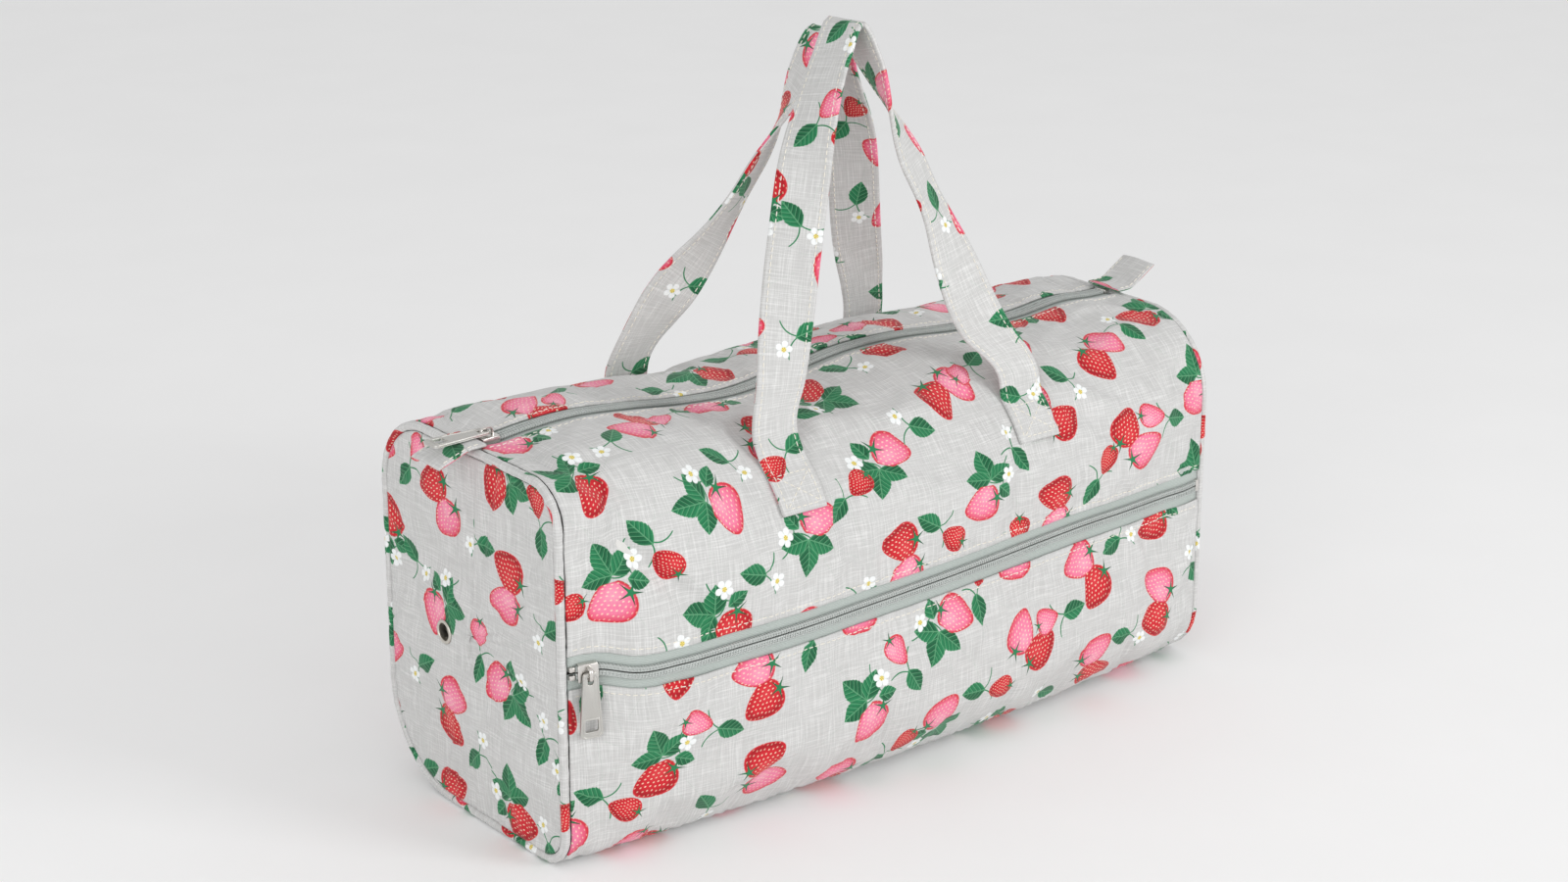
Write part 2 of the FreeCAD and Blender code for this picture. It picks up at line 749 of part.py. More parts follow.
def make_handle(label, face_sign, shift, apex_height, lie):
    """A flat strap from fold line to fold line. Its lie is given as shares of (spread, rise)."""
    spread = size("handle_spread").value
    low = size("handle_pivot_height").value + 0.5
    pivot = size("pivot_depth").value
    lean = pivot - size("apex_depth").value
    line = [
        Vector(shift + spread * out, face_sign * (pivot - lean * up), low + (apex_height - low) * up)
        for out, up in lie
    ]
    curve = Part.BSplineCurve()
    curve.interpolate(line)
    apex_at = curve.parameter(max(line, key=lambda point: point.z))
    first, last = curve.FirstParameter, curve.LastParameter
    stations = [first + (last - first) * i / 36 for i in range(37)]
    rails = []
    for across, through in ((-1, -1), (1, -1), (1, 1), (-1, 1)):
        rail = Part.BSplineCurve()
        corners = [strap_corner(curve, apex_at, at, face_sign, across, through) for at in stations]
        rail.interpolate(Points=corners, Parameters=stations)
        rails.append(rail)
    faces = []
    for start, end in zip(stations[:-1:2], stations[2::2]):
        edges = [rail.toShape(start, end) for rail in rails]
        faces += [Part.makeRuledSurface(edges[i], edges[(i + 1) % 4]) for i in range(4)]
    for end in (first, last):
        corners = [rail.value(end) for rail in rails]
        faces.append(Part.Face(Part.makePolygon(corners + corners[:1])))
    skin = Part.makeShell(faces)
    skin.sewShape()
    solid = Part.makeSolid(skin)
    if solid.Volume < 0:
        solid.reverse()
    strap = DOC.addObject("Part::Feature", label)
    strap.Shape = solid
    node(strap, label)


def make_handles():
    make_handle("front_handle", -1, 0, size("front_apex_height").value, FRONT_LIE)
    shift = size("rear_handle_shift").value
    make_handle("rear_handle", 1, shift, size("rear_apex_height").value, REAR_LIE)


def make_tab(side, sign, drop):
    """A folded tab over the end of the top zip: a sewn root, and a free flap that bends at the seam."""
    under = size("bag_height") + size("tab_rise")
    cloth = size("tab_cloth")
    root = size("tab_root")
    pivot = size("tab_pivot")
    start = -pivot if sign < 0 else root
    sides = (pivot - root, size("tab_width"), cloth)
    label = f"{side}_tab_root"
    node(box(label, (start, -size("tab_width") / 2, under), sides), label)
    body = node(new_body(f"{side}_tab"), f"{side}_tab")
    length = size("tab_length")
    gap = size("layer_gap")
    slope = length * drop
    bevel = cloth + 0.2
    corners = [
        (sign * (pivot + gap), under),
        (sign * (pivot + bevel), under + cloth + drop * bevel),
        (sign * (pivot + length), under + cloth + slope),
        (sign * (pivot + length), under + slope),
    ]
    sketch = polygon(new_sketch(body, f"{side}_tab_side", "XZ_Plane"), corners)
    pad(body, sketch, size("tab_width"), both_ways=True)


# ---- the whole bag ----


def check_and_export():
    DOC.recompute()
    for thing in DOC.Objects:
        if {"Invalid", "Error"} & set(thing.State):
            raise RuntimeError(f"{thing.Label} failed: {thing.State}")
    for thing in NODES:
        if thing.Shape.isNull() or not thing.Shape.isValid():
            raise RuntimeError(f"{thing.Label} has no valid shape")
        if not thing.Shape.Solids:
            raise RuntimeError(f"{thing.Label} has no solid")
    os.makedirs("parts", exist_ok=True)
    for thing in NODES:
        thing.Shape.exportStep(os.path.join("parts", f"{thing.Label}.step"))
        bounds = thing.Shape.BoundBox
        print(
            f"{thing.Label:28s} solids {len(thing.Shape.Solids)} volume {thing.Shape.Volume:10.1f}"
            f"  x {bounds.XMin:7.1f} {bounds.XMax:7.1f}  y {bounds.YMin:7.1f} {bounds.YMax:7.1f}"
            f"  z {bounds.ZMin:6.1f} {bounds.ZMax:6.1f}"
        )


fill_sheet()
make_front_upper_panel()
make_back_and_base_panel()
for end_side, end_sign in (("left", -1), ("right", 1)):
    make_end_panel(end_side, end_sign)
    make_piping(end_side, end_sign)
make_linings()
make_needle_divider()
make_top_zip()
make_needle_zip()
make_sliders()
make_eyelet()
make_handle_feet()
make_handles()
make_tab("left", -1, -0.36)
make_tab("right", 1, 0.62)
check_and_export()
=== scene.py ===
"""The looks of the printed knitting bag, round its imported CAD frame. Lengths are in mm up to the meshes."""

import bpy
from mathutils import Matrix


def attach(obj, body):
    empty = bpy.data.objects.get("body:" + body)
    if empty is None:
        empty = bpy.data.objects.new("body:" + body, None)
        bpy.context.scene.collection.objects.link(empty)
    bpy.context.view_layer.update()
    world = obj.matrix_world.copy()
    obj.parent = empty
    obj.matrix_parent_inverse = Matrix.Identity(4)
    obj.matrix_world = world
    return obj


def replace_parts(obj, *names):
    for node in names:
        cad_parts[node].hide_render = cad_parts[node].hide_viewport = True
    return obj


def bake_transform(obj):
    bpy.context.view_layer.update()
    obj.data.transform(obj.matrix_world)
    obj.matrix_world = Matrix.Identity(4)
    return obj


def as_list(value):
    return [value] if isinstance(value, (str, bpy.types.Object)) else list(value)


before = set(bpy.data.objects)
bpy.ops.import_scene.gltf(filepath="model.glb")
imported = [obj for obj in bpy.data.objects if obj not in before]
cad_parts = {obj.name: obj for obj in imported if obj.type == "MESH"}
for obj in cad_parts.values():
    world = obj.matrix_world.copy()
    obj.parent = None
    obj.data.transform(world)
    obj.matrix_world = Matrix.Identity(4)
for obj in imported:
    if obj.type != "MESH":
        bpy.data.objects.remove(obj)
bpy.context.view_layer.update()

import math

import bmesh
import bpy
import numpy as np
from mathutils import Matrix, Vector

MM = 0.001
BAG = "bag"

# ---- sizes ----

HEIGHT = 202.0
MIDDLE_Z = HEIGHT / 2
REACH = 215.1
END_DEPTH = 80.0
FRONT_DEPTH = 104.0
BACK_DEPTH = 94.0
TOP_FRONT_RADII = (24.0, 80.0, 46.0)
TOP_BACK_RADII = (40.0, 66.0, 50.0)
BASE_FRONT_RADII = (20.0, 42.0, 30.0)
BASE_BACK_RADII = (54.0, 50.0, 50.0)
CLOTH = 1.2
SLOT = 9.0
TAPE_START = 0.9
TAPE_EDGE = 13.0
TAPE_REACH = 214.9
TAPE_INSET = 1.5
NEEDLE_ZIP_Z = 106.0
PIPING_X = 217.7
PIPING_RADIUS = 2.3
PIPING_INSIDE = 1.6
PIPING_SLIT = 0.2
CORD_RADIUS = 1.5
END_FACE_X = 219.0
COIL_REACH = 211.7
COIL_MIDDLE = 1.9
COIL_PITCH = 1.55
PARK = 206.0
PULL_RISE = 4.4
HANDLE_SPREAD = 82.0
REAR_SHIFT = 13.0
STRAP_WIDTH = 28.0
STRAP_CLOTH = 2.6
STRAP_SEAM = 10.8
STRAP_Z = 196.0
FOLD_DEPTH = 72.0
APEX_DEPTH = 15.0
FRONT_APEX = 385.0
REAR_APEX = 374.0
FOOT_Z = 163.0
TAB_RISE = 1.0
TAB_WIDTH = 25.0
TAB_LENGTH = 28.0
TAB_CLOTH = 2.0
EYELET_Y = 25.0
EYELET_Z = 95.0

FRONT_LIE = [
    (-1.0, 0.0), (-0.88, 0.14), (-0.6, 0.46), (-0.28, 0.766), (-0.055, 0.915), (0.12, 1.0),
    (0.215, 0.915), (0.335, 0.75), (0.56, 0.46), (0.78, 0.15), (1.0, 0.0),
]
REAR_LIE = [
    (-1.0, 0.0), (-0.85, 0.15), (-0.53, 0.36), (-0.2, 0.65), (-0.03, 0.87), (0.11, 1.0),
    (0.27, 0.88), (0.47, 0.68), (0.8, 0.25), (0.93, 0.1), (1.0, 0.0),
]

# How far the filled bag strays from its pattern: (x, move) pairs along the two zips.
TOP_SAG = [
    (-215, 0.0), (-203, 0.0), (-185, 2.0), (-155, 3.2), (-121, 0.0), (-90, -4.0), (-50, -6.0), (-15, -1.5),
    (20, 3.2), (60, 3.2), (100, -0.5), (145, -1.5), (180, 1.5), (203, 0.0), (215, 0.0),
]
NEEDLE_SAG = [
    (-215, 0.0), (-200, 0.0), (-185, -3.0), (-160, -3.0), (-127, -1.7), (-90, -0.8), (-50, 0.0),
    (20, 1.2), (70, 1.8), (115, 1.9), (150, 1.3), (185, 0.8), (203, 0.0), (215, 0.0),
]
NEEDLE_BULGE = [
    (-215, 0.0), (-200, 0.4), (-183, 6.5), (-160, 7.5), (-127, 6.0), (-90, 4.0), (-50, 0.0),
    (20, -4.0), (70, -6.0), (115, -6.0), (150, -4.0), (185, -1.5), (203, 0.0), (215, 0.0),
]


# ---- the bag's form ----


def eased(t):
    t = np.clip(t, 0.0, 1.0)
    return t * t * (3 - 2 * t)


def along(pairs, x):
    """Smooth values between (x, value) pairs."""
    xs = np.array([p[0] for p in pairs], float)
    values = np.array([p[1] for p in pairs], float)
    slopes = np.gradient(values, xs)
    x = np.clip(np.asarray(x, float), xs[0], xs[-1])
    i = np.clip(np.searchsorted(xs, x, side="right") - 1, 0, len(xs) - 2)
    step = xs[i + 1] - xs[i]
    t = (x - xs[i]) / step
    return (
        (2 * t**3 - 3 * t**2 + 1) * values[i]
        + (t**3 - 2 * t**2 + t) * step * slopes[i]
        + (3 * t**2 - 2 * t**3) * values[i + 1]
        + (t**3 - t**2) * step * slopes[i + 1]
    )


def across_stations(radii, x):
    """A size given at the left end, the middle and the right end of the bag."""
    left, middle, right = radii
    t = x / REACH
    return middle + (right - left) / 2 * t + ((left + right) / 2 - middle) * t * t


def front_depth(x):
    return FRONT_DEPTH - (FRONT_DEPTH - END_DEPTH) * (x / REACH) ** 2


def back_depth(x):
    return BACK_DEPTH - (BACK_DEPTH - END_DEPTH) * (x / REACH) ** 2


def arc(centre_y, centre_z, radius, start, end, steps=40):
    angle = np.radians(np.linspace(start, end, steps))
    return np.stack([centre_y + radius * np.cos(angle), centre_z + radius * np.sin(angle)], 1)


def run_length(line):
    """How far along a line each of its points is."""
    return np.concatenate([[0], np.cumsum(np.linalg.norm(np.diff(line, axis=0), axis=1))])


def read_along(at, known, field):
    """Points or vectors known at some places along a line, read at others."""
    return np.stack([np.interp(at, known, values) for values in field.T], -1)


def outline(x, inset=0.0):
    """The section at x as (y, z), from the middle of the top round by the front, and its run length."""
    front, back = front_depth(x), back_depth(x)
    a, b = across_stations(TOP_FRONT_RADII, x), across_stations(BASE_FRONT_RADII, x)
    c, d = across_stations(BASE_BACK_RADII, x), across_stations(TOP_BACK_RADII, x)
    top = [[0, HEIGHT - inset]]
    corners = (
        arc(a - front, HEIGHT - a, a - inset, 90, 180),
        arc(b - front, b, b - inset, 180, 270),
        arc(back - c, c, c - inset, 270, 360),
        arc(back - d, HEIGHT - d, d - inset, 0, 90),
    )
    points = np.concatenate([top, *corners, top])
    return points, run_length(points)


def front_length(x, z):
    """How far down the front, from the middle of the top, the height z is."""
    front, radius = front_depth(x), across_stations(TOP_FRONT_RADII, x)
    return front - radius + math.pi / 2 * radius + HEIGHT - radius - z


def drape(points):
    """Where a point of the pattern goes on the filled bag."""
    points = np.array(points, float)
    x, y, z = points[..., 0], points[..., 1], points[..., 2]
    high = eased((z - 118) / 70)
    front = eased(-y / 60)
    belt = eased(1 - abs(z - NEEDLE_ZIP_Z) / 85) * front
    lift = along(TOP_SAG, x) * high * eased(1 - abs(y) / 115)
    points[..., 2] = z + lift + along(NEEDLE_SAG, x) * belt
    points[..., 1] = y - along(NEEDLE_BULGE, x) * belt
    return points


# ---- meshes ----


def unit(vectors):
    return vectors / np.maximum(np.linalg.norm(vectors, axis=-1, keepdims=True), 1e-9)


def new_object(name, data):
    made = bpy.data.objects.new(name, data)
    bpy.context.scene.collection.objects.link(made)
    return made


def on_bag(piece, *nodes):
    """The piece moves with the bag and takes the place of these CAD nodes."""
    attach(piece, BAG)
    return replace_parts(piece, *nodes)


def rework(mesh, change):
    """Lets change edit the mesh in BMesh form."""
    form = bmesh.new()
    form.from_mesh(mesh)
    change(form)
    form.to_mesh(mesh)
    form.free()


def smooth(mesh):
    mesh.polygons.foreach_set("use_smooth", [True] * len(mesh.polygons))


def new_mesh(name, points, faces, loop_uvs=None):
    """A smooth, closed mesh from points in mm, its faces turned outwards and its UVs in metres."""
    mesh = bpy.data.meshes.new(name)
    mesh.from_pydata((np.asarray(points, float) * MM).tolist(), [], faces)
    if loop_uvs is not None:
        layer = mesh.uv_layers.new(name="UVMap")
        layer.data.foreach_set("uv", (np.asarray(loop_uvs, float) * MM).ravel())
    rework(mesh, lambda form: bmesh.ops.recalc_face_normals(form, faces=form.faces))
    smooth(mesh)
    return new_object(name, mesh)


def quads(rows, columns, wrap_rows=False, wrap_columns=False):
    """Corner indices of a grid's faces, and each corner's (row, column) counted on past a wrap."""
    i, j = np.indices((rows - 1 + wrap_rows, columns - 1 + wrap_columns))
    corners = [(i, j), (i + 1, j), (i + 1, j + 1), (i, j + 1)]
    ids = np.stack([(a % rows) * columns + b % columns for a, b in corners], -1).reshape(-1, 4)
    places = np.stack([np.stack(corner, -1) for corner in corners], -2).reshape(-1, 2)
    return ids, places


def tube_mesh(name, rings, u, v, wrap_rows=False):
    """A tube through rings of points, each ring closed. u runs round a ring and v along the tube."""
    rows, columns = rings.shape[:2]
    u, v = np.asarray(u), np.asarray(v)
    ids, places = quads(rows, columns, wrap_rows, True)
    faces, uvs = ids.tolist(), [np.stack([u[places[:, 1]], v[places[:, 0]]], 1)]
    if not wrap_rows:
        for row in (0, rows - 1):
            faces.append([row * columns + j for j in range(columns)])
            uvs.append(np.stack([u[:columns], np.full(columns, v[row])], 1))
    return new_mesh(name, rings.reshape(-1, 3), faces, np.concatenate(uvs))


def grid_normals(grid):
    """Outward normals of a grid of cloth: rows run along the bag and columns round it from the top."""
    return unit(np.cross(np.gradient(grid, axis=1), np.gradient(grid, axis=0)))


def cloth_sheet(name, grid, uv, thick, normals):
    """A closed sheet of cloth with rounded edges. grid is its outer face."""
    rows, columns = grid.shape[:2]
    count = rows * columns
    outer, inner = grid.reshape(-1, 3), (grid - normals * thick).reshape(-1, 3)
    ids, _ = quads(rows, columns)
    order = np.arange(count).reshape(rows, columns)
    border = np.concatenate([order[:-1, 0], order[-1, :-1], order[:0:-1, -1], order[0, :0:-1]])
    inward = np.concatenate([order[:-1, 1], order[-2, :-1], order[:0:-1, -2], order[1, :0:-1]])
    rim = (outer[border] + inner[border]) / 2 + unit(outer[border] - outer[inward]) * thick * 0.45
    ring = 2 * count + np.arange(len(border))
    after, ring_after = np.roll(border, -1), np.roll(ring, -1)
    faces = np.concatenate(
        [
            ids,
            ids[:, ::-1] + count,
            np.stack([border, ring, ring_after, after], 1),
            np.stack([ring, border + count, after + count, ring_after], 1),
        ]
    )
    flat = np.concatenate([uv.reshape(-1, 2), uv.reshape(-1, 2), uv.reshape(-1, 2)[border]])
    return new_mesh(name, np.concatenate([outer, inner, rim]), faces.tolist(), flat[faces.ravel()])


def settle(points, faces, held, cap, push, slack=0.02, frames=18):
    """Lets a panel buckle as the bag is filled. held is 1 where it is sewn down and 0 where it is free."""
    start = np.asarray(points, float)
    panel = new_mesh("settling", start, faces)
    group = panel.vertex_groups.new(name="held")
    for index, weight in enumerate(held):
        if weight > 0:
            group.add([index], float(weight), "REPLACE")
    cloth = panel.modifiers.new("settling", "CLOTH")
    rules = cloth.settings
    rules.quality = 5
    rules.mass = 0.25
    rules.tension_stiffness = rules.compression_stiffness = 12
    rules.shear_stiffness = 6
    rules.bending_stiffness = 0.4
    rules.vertex_group_mass = "held"
    rules.pin_stiffness = 1
    rules.shrink_min = -slack
    rules.use_pressure = True
    rules.uniform_pressure_force = push
    rules.effector_weights.gravity = 0
    cloth.collision_settings.use_collision = False
    cloth.collision_settings.use_self_collision = False
    scene = bpy.context.scene
    for frame_number in range(1, frames + 1):
        scene.frame_set(frame_number)
    drawn = panel.evaluated_get(bpy.context.evaluated_depsgraph_get()).data
    moved = np.empty(len(drawn.vertices) * 3)
    drawn.vertices.foreach_get("co", moved)
    scene.frame_set(1)
    mesh = panel.data
    bpy.data.objects.remove(panel)
    bpy.data.meshes.remove(mesh)
    shift = moved.reshape(-1, 3) / MM - start
    far = np.linalg.norm(shift, axis=1, keepdims=True)
    return start + shift * np.where(far > 1e-6, cap * np.tanh(far / cap) / np.maximum(far, 1e-6), 1)


# ---- panels ----

COLUMNS = np.concatenate([[-REACH], np.linspace(-REACH + 1.2, REACH - 1.2, 139), [REACH]])


def panel_grid(start, end, rows):
    """A panel's grid: along the bag, then round it between two lengths given as functions of x."""
    grid = np.empty((len(COLUMNS), rows, 3))
    lengths = np.empty((len(COLUMNS), rows))
    for i, x in enumerate(COLUMNS):
        points, measure = outline(x)
        share = np.linspace(0, 1, rows)
        lengths[i] = start(x, measure) + (end(x, measure) - start(x, measure)) * share
        grid[i, :, 0] = x
        grid[i, :, 1:] = read_along(lengths[i], measure, points)
    return grid, lengths


def under_strap(x, y, z):
    """1 under a handle's foot and just round it, easing to 0."""
    shifts = np.where(y < 0, 0.0, REAR_SHIFT)
    near = np.minimum(abs(x - shifts - HANDLE_SPREAD), abs(x - shifts + HANDLE_SPREAD))
    return (1 - eased((near - 15) / 8)) * eased((z - 152) / 9) * (1 - eased((z - 193) / 8)) * (abs(y) > 40)


def held_panel(grid, lengths):
    """How firmly each point is held: at its edges, on the base and under the handles."""
    x, y, z = grid[..., 0], grid[..., 1], grid[..., 2]
    ends = 1 - eased((REACH - abs(x)) / 9)
    edge = np.minimum(lengths - lengths[:, :1], lengths[:, -1:] - lengths)
    folds = 1 - eased(edge / 6)
    base = 1 - eased((z - 0.5) / 5)
    return np.clip(np.maximum.reduce([ends, folds, base, under_strap(x, y, z)]), 0, 1)


def puckers(grid, lengths, normals):
    """Small gathers that run in from the end seams and from the zips."""
    x, z = grid[..., 0], grid[..., 2]
    from_end = REACH - abs(x)
    side = np.sign(x)
    corner = np.exp(-(((z - 178) / 18) ** 2)) * eased((abs(grid[..., 1]) - 35) / 20)
    wave = np.sin(lengths / 5.2 + 1.7 * np.sin(lengths / 23) + side) * eased(from_end / 3)
    wave *= (1.1 + 1.3 * corner) * np.exp(-from_end / (13 + 7 * corner))
    edge = np.minimum(lengths - lengths[:, :1], lengths[:, -1:] - lengths)
    ripple = np.sin(x / 3.9 + 2.2 * np.sin(x / 29) + z / 60) * np.exp(-abs(edge - 5) / 6) * eased(edge / 5)
    clear = (1 - under_strap(x, grid[..., 1], z)) * eased(z / 12)
    return grid + normals * ((wave + 0.7 * ripple) * clear)[..., None]


def folds(grid):
    """The soft folds of the half-filled bag, as (x, y, z, direction, length, width, height)."""
    moved = np.array(grid)
    x, y, z = grid[..., 0], grid[..., 1], grid[..., 2]
    front = eased((-y - 20) / 30)
    total = np.zeros_like(x)
    rows = [
        (-196, 184, -40, 60, 9, 5.4), (-174, 163, -58, 48, 9, -8.0), (-152, 186, -25, 46, 9, 3.6),
        (-128, 146, -70, 50, 10, 2.4), (-190, 60, 40, 50, 9, 2.6), (-52, 150, 75, 40, 10, -2.6),
        (-20, 60, 20, 90, 12, 2.0), (36, 165, -20, 60, 10, 2.6), (62, 140, 80, 40, 9, -2.4),
        (130, 60, -30, 70, 12, 2.2), (165, 150, 50, 56, 11, 3.0), (195, 110, 60, 60, 10, -2.4),
        (-110, 40, 12, 70, 10, 2.0), (185, 45, 30, 40, 9, 2.2), (112, 178, -12, 50, 8, 2.2),
        (-8, 178, 10, 50, 9, 2.2), (-150, 72, -8, 60, 8, 2.0), (30, 66, -6, 80, 9, 1.8),
    ]
    for at_x, at_z, direction, length, width, height in rows:
        turn = math.radians(direction)
        u = (x - at_x) * math.cos(turn) + (z - at_z) * math.sin(turn)
        v = -(x - at_x) * math.sin(turn) + (z - at_z) * math.cos(turn)
        v = v + 4 * np.sin(u / 17 + at_x)
        total += height * np.exp(-((u / length) ** 2) - (v / width) ** 2)
    still = 1 - under_strap(x, y, z)
    hem = eased((REACH - abs(x)) / 10) * eased(z / 14) * eased(abs(z - NEEDLE_ZIP_Z) / 22)
    moved[..., 1] -= total * front * still * hem
    return moved


def make_panel(name, start, end, rows, offset):
    pattern, lengths = panel_grid(start, end, rows)
    grid = folds(drape(pattern))
    ids, _ = quads(*grid.shape[:2])
    held = held_panel(pattern, lengths)
    grid = settle(grid.reshape(-1, 3), ids.tolist(), held.ravel(), cap=3.5, push=0.6).reshape(grid.shape)
    grid = puckers(grid, lengths, grid_normals(grid))
    grid[..., 2] = np.maximum(grid[..., 2], 0)
    normals = grid_normals(grid)
    uv = np.stack([pattern[..., 0] + offset[0], offset[1] - lengths], -1)
    piece = cloth_sheet(name, grid, uv, CLOTH, normals)
    return piece, Surface(grid, normals, lengths)


class Surface:
    """The outer face of a panel, read by x and by length round the bag."""

    def __init__(self, grid, normals, lengths):
        self.grid, self.normals, self.lengths = grid, normals, lengths

    def at(self, x, length, out=0.0):
        """Points above the face, and its normals there."""
        x, length = np.broadcast_arrays(np.asarray(x, float), np.asarray(length, float))
        i = np.interp(x, COLUMNS, np.arange(len(COLUMNS)))
        i0 = np.clip(i.astype(int), 0, len(COLUMNS) - 2)
        rows = self.lengths.shape[1]
        first, last = self.lengths[i0, 0], self.lengths[i0, -1]
        j = np.clip((length - first) / (last - first), 0, 1) * (rows - 1)
        j0 = np.clip(j.astype(int), 0, rows - 2)
        a, b = (i - i0)[..., None], (j - j0)[..., None]
        mixed = []
        for field in (self.grid, self.normals):
            low = field[i0, j0] * (1 - a) + field[i0 + 1, j0] * a
            high = field[i0, j0 + 1] * (1 - a) + field[i0 + 1, j0 + 1] * a
            mixed.append(low * (1 - b) + high * b)
        normal = unit(mixed[1])
        return mixed[0] + normal * out, normal


front_upper_cloth, FRONT = make_panel(
    "front_upper_cloth",
    lambda x, measure: SLOT,
    lambda x, measure: front_length(x, NEEDLE_ZIP_Z + SLOT),
    64,
    (0, 0),
)
lower_and_back_cloth, BACK = make_panel(
    "lower_and_back_cloth",
    lambda x, measure: front_length(x, NEEDLE_ZIP_Z - SLOT),
    lambda x, measure: measure[-1] - SLOT,
    160,
    (31, 14),
)


def end_outline(sign, inset):
    """The end seam's outline, evenly spaced, as (y, z), and how far round each point is."""
    points, measure = outline(sign * REACH, inset)
    steps = np.linspace(0, measure[-1], 217)
    return read_along(steps, measure, points), steps


def end_edge(sign):
    """Where an end panel's cloth meets its piping."""
    return end_outline(sign, 2 * PIPING_RADIUS + 0.2)[0]


def make_end(side, sign):
    """An end panel: rings of cloth from its middle out to the piping."""
    edge = end_edge(sign)[:-1]
    middle = np.array([0.0, MIDDLE_Z])
    shares = np.concatenate([[0.012], np.linspace(0.06, 0.985, 30), [1.0]])
    flat = middle + (edge - middle)[None] * shares[:, None, None]
    grid = np.empty((*flat.shape[:2], 3))
    grid[..., 0] = sign * END_FACE_X
    grid[..., 1:] = flat
    y, z = grid[..., 1], grid[..., 2]
    inner = 1 - shares[:, None] ** 2
    crease = np.exp(-(((z - 62 - 0.35 * y) / 11) ** 2)) - 0.8 * np.exp(-(((z - 150 + 0.5 * y) / 13) ** 2))
    ripple = 0.35 * np.sin(np.linspace(0, 2 * math.pi, grid.shape[1], endpoint=False) * 61)
    near_seam = np.exp(-(1 - shares[:, None]) * 9) * eased((1 - shares[:, None]) * 30)
    calm = eased(np.hypot(y - EYELET_Y, z - EYELET_Z) / 30 - 0.3)
    grid[..., 0] += sign * (1.1 * crease * inner * calm + ripple[None] * near_seam)
    ids, _ = quads(*grid.shape[:2], wrap_columns=True)
    held = np.repeat(1 - eased((1 - shares) / 0.05), grid.shape[1])
    held = np.maximum(held, (1 - eased(np.hypot(y - EYELET_Y, z - EYELET_Z) / 14 - 0.8)).ravel())
    grid = settle(grid.reshape(-1, 3), ids.tolist(), held, 2.2, 0.35).reshape(grid.shape)
    if sign < 0:
        grid[..., 0] += 0.25 * (np.hypot(grid[..., 1] - EYELET_Y, grid[..., 2] - EYELET_Z) < 6.0)
    inside = np.array(grid)
    inside[..., 0] -= sign * CLOTH
    rings = np.concatenate([grid, inside[::-1]])
    uv = np.concatenate([flat, flat[::-1]])
    uv = uv * np.array([-sign, 1.0]) + np.array([70.0 * (2 + sign), 23.0])
    rows, columns = rings.shape[:2]
    ids, places = quads(rows, columns, False, True)
    faces = ids.tolist()
    corner_uvs = uv[places[:, 0], places[:, 1] % columns]
    for row in (0, rows - 1):
        faces.append([row * columns + j for j in range(columns)])
        corner_uvs = np.concatenate([corner_uvs, uv[row]])
    piece = new_mesh(f"{side}_end_cloth", rings.reshape(-1, 3), faces, corner_uvs)
    return on_bag(piece, f"{side}_end_panel")


def make_piping(side, sign):
    """The covered cord in an end seam, a little uneven, with the cord inside it."""
    line, steps = end_outline(sign, PIPING_RADIUS)
    line, count = line[:-1], len(line) - 1
    turn = np.roll(line, -1, 0) - np.roll(line, 1, 0)
    away = unit(np.stack([turn[:, 1], -turn[:, 0]], 1))
    away *= np.sign((away * (line - [0, MIDDLE_Z])).sum(1))[:, None]
    lap = np.arange(count) / count * 2 * math.pi
    uneven = 1 + 0.045 * np.sin(lap * 83 + sign) + 0.03 * np.sin(lap * 37)
    outer, inner = np.outer(PIPING_RADIUS * uneven, np.ones(16)), np.full((count, 16), PIPING_INSIDE)
    cover = np.concatenate([outer, inner], 1)
    hidden = math.atan2(-1, -sign)
    once = hidden + np.linspace(PIPING_SLIT / 2, 2 * math.pi - PIPING_SLIT / 2, 16)
    round_cord = hidden + np.linspace(0, 2 * math.pi, 14, endpoint=False)
    for name, radius, angles, reach, node in (
        ("cover", PIPING_RADIUS, np.concatenate([once, once[::-1]]), cover, "piping"),
        ("filler", CORD_RADIUS, round_cord, np.full((count, 14), CORD_RADIUS), "piping_cord"),
    ):
        rings = np.empty((count, len(angles), 3))
        rings[..., 0] = sign * PIPING_X + reach * np.cos(angles)
        rings[..., 1:] = line[:, None] + away[:, None] * (reach * np.sin(angles))[..., None]
        rings[..., 2] = np.maximum(rings[..., 2], 0)
        across = np.linspace(0, len(angles) * math.pi * radius / 8, len(angles) + 1) + 300
        piece = tube_mesh(f"{side}_piping_{name}", rings, across, steps, wrap_rows=True)
        yield on_bag(piece, f"{side}_{node}")


left_end_cloth, right_end_cloth = make_end("left", -1), make_end("right", 1)
left_piping_cover, left_piping_filler = make_piping("left", -1)
right_piping_cover, right_piping_filler = make_piping("right", 1)
on_bag(front_upper_cloth, "front_upper_panel")
on_bag(lower_and_back_cloth, "back_and_base_panel")


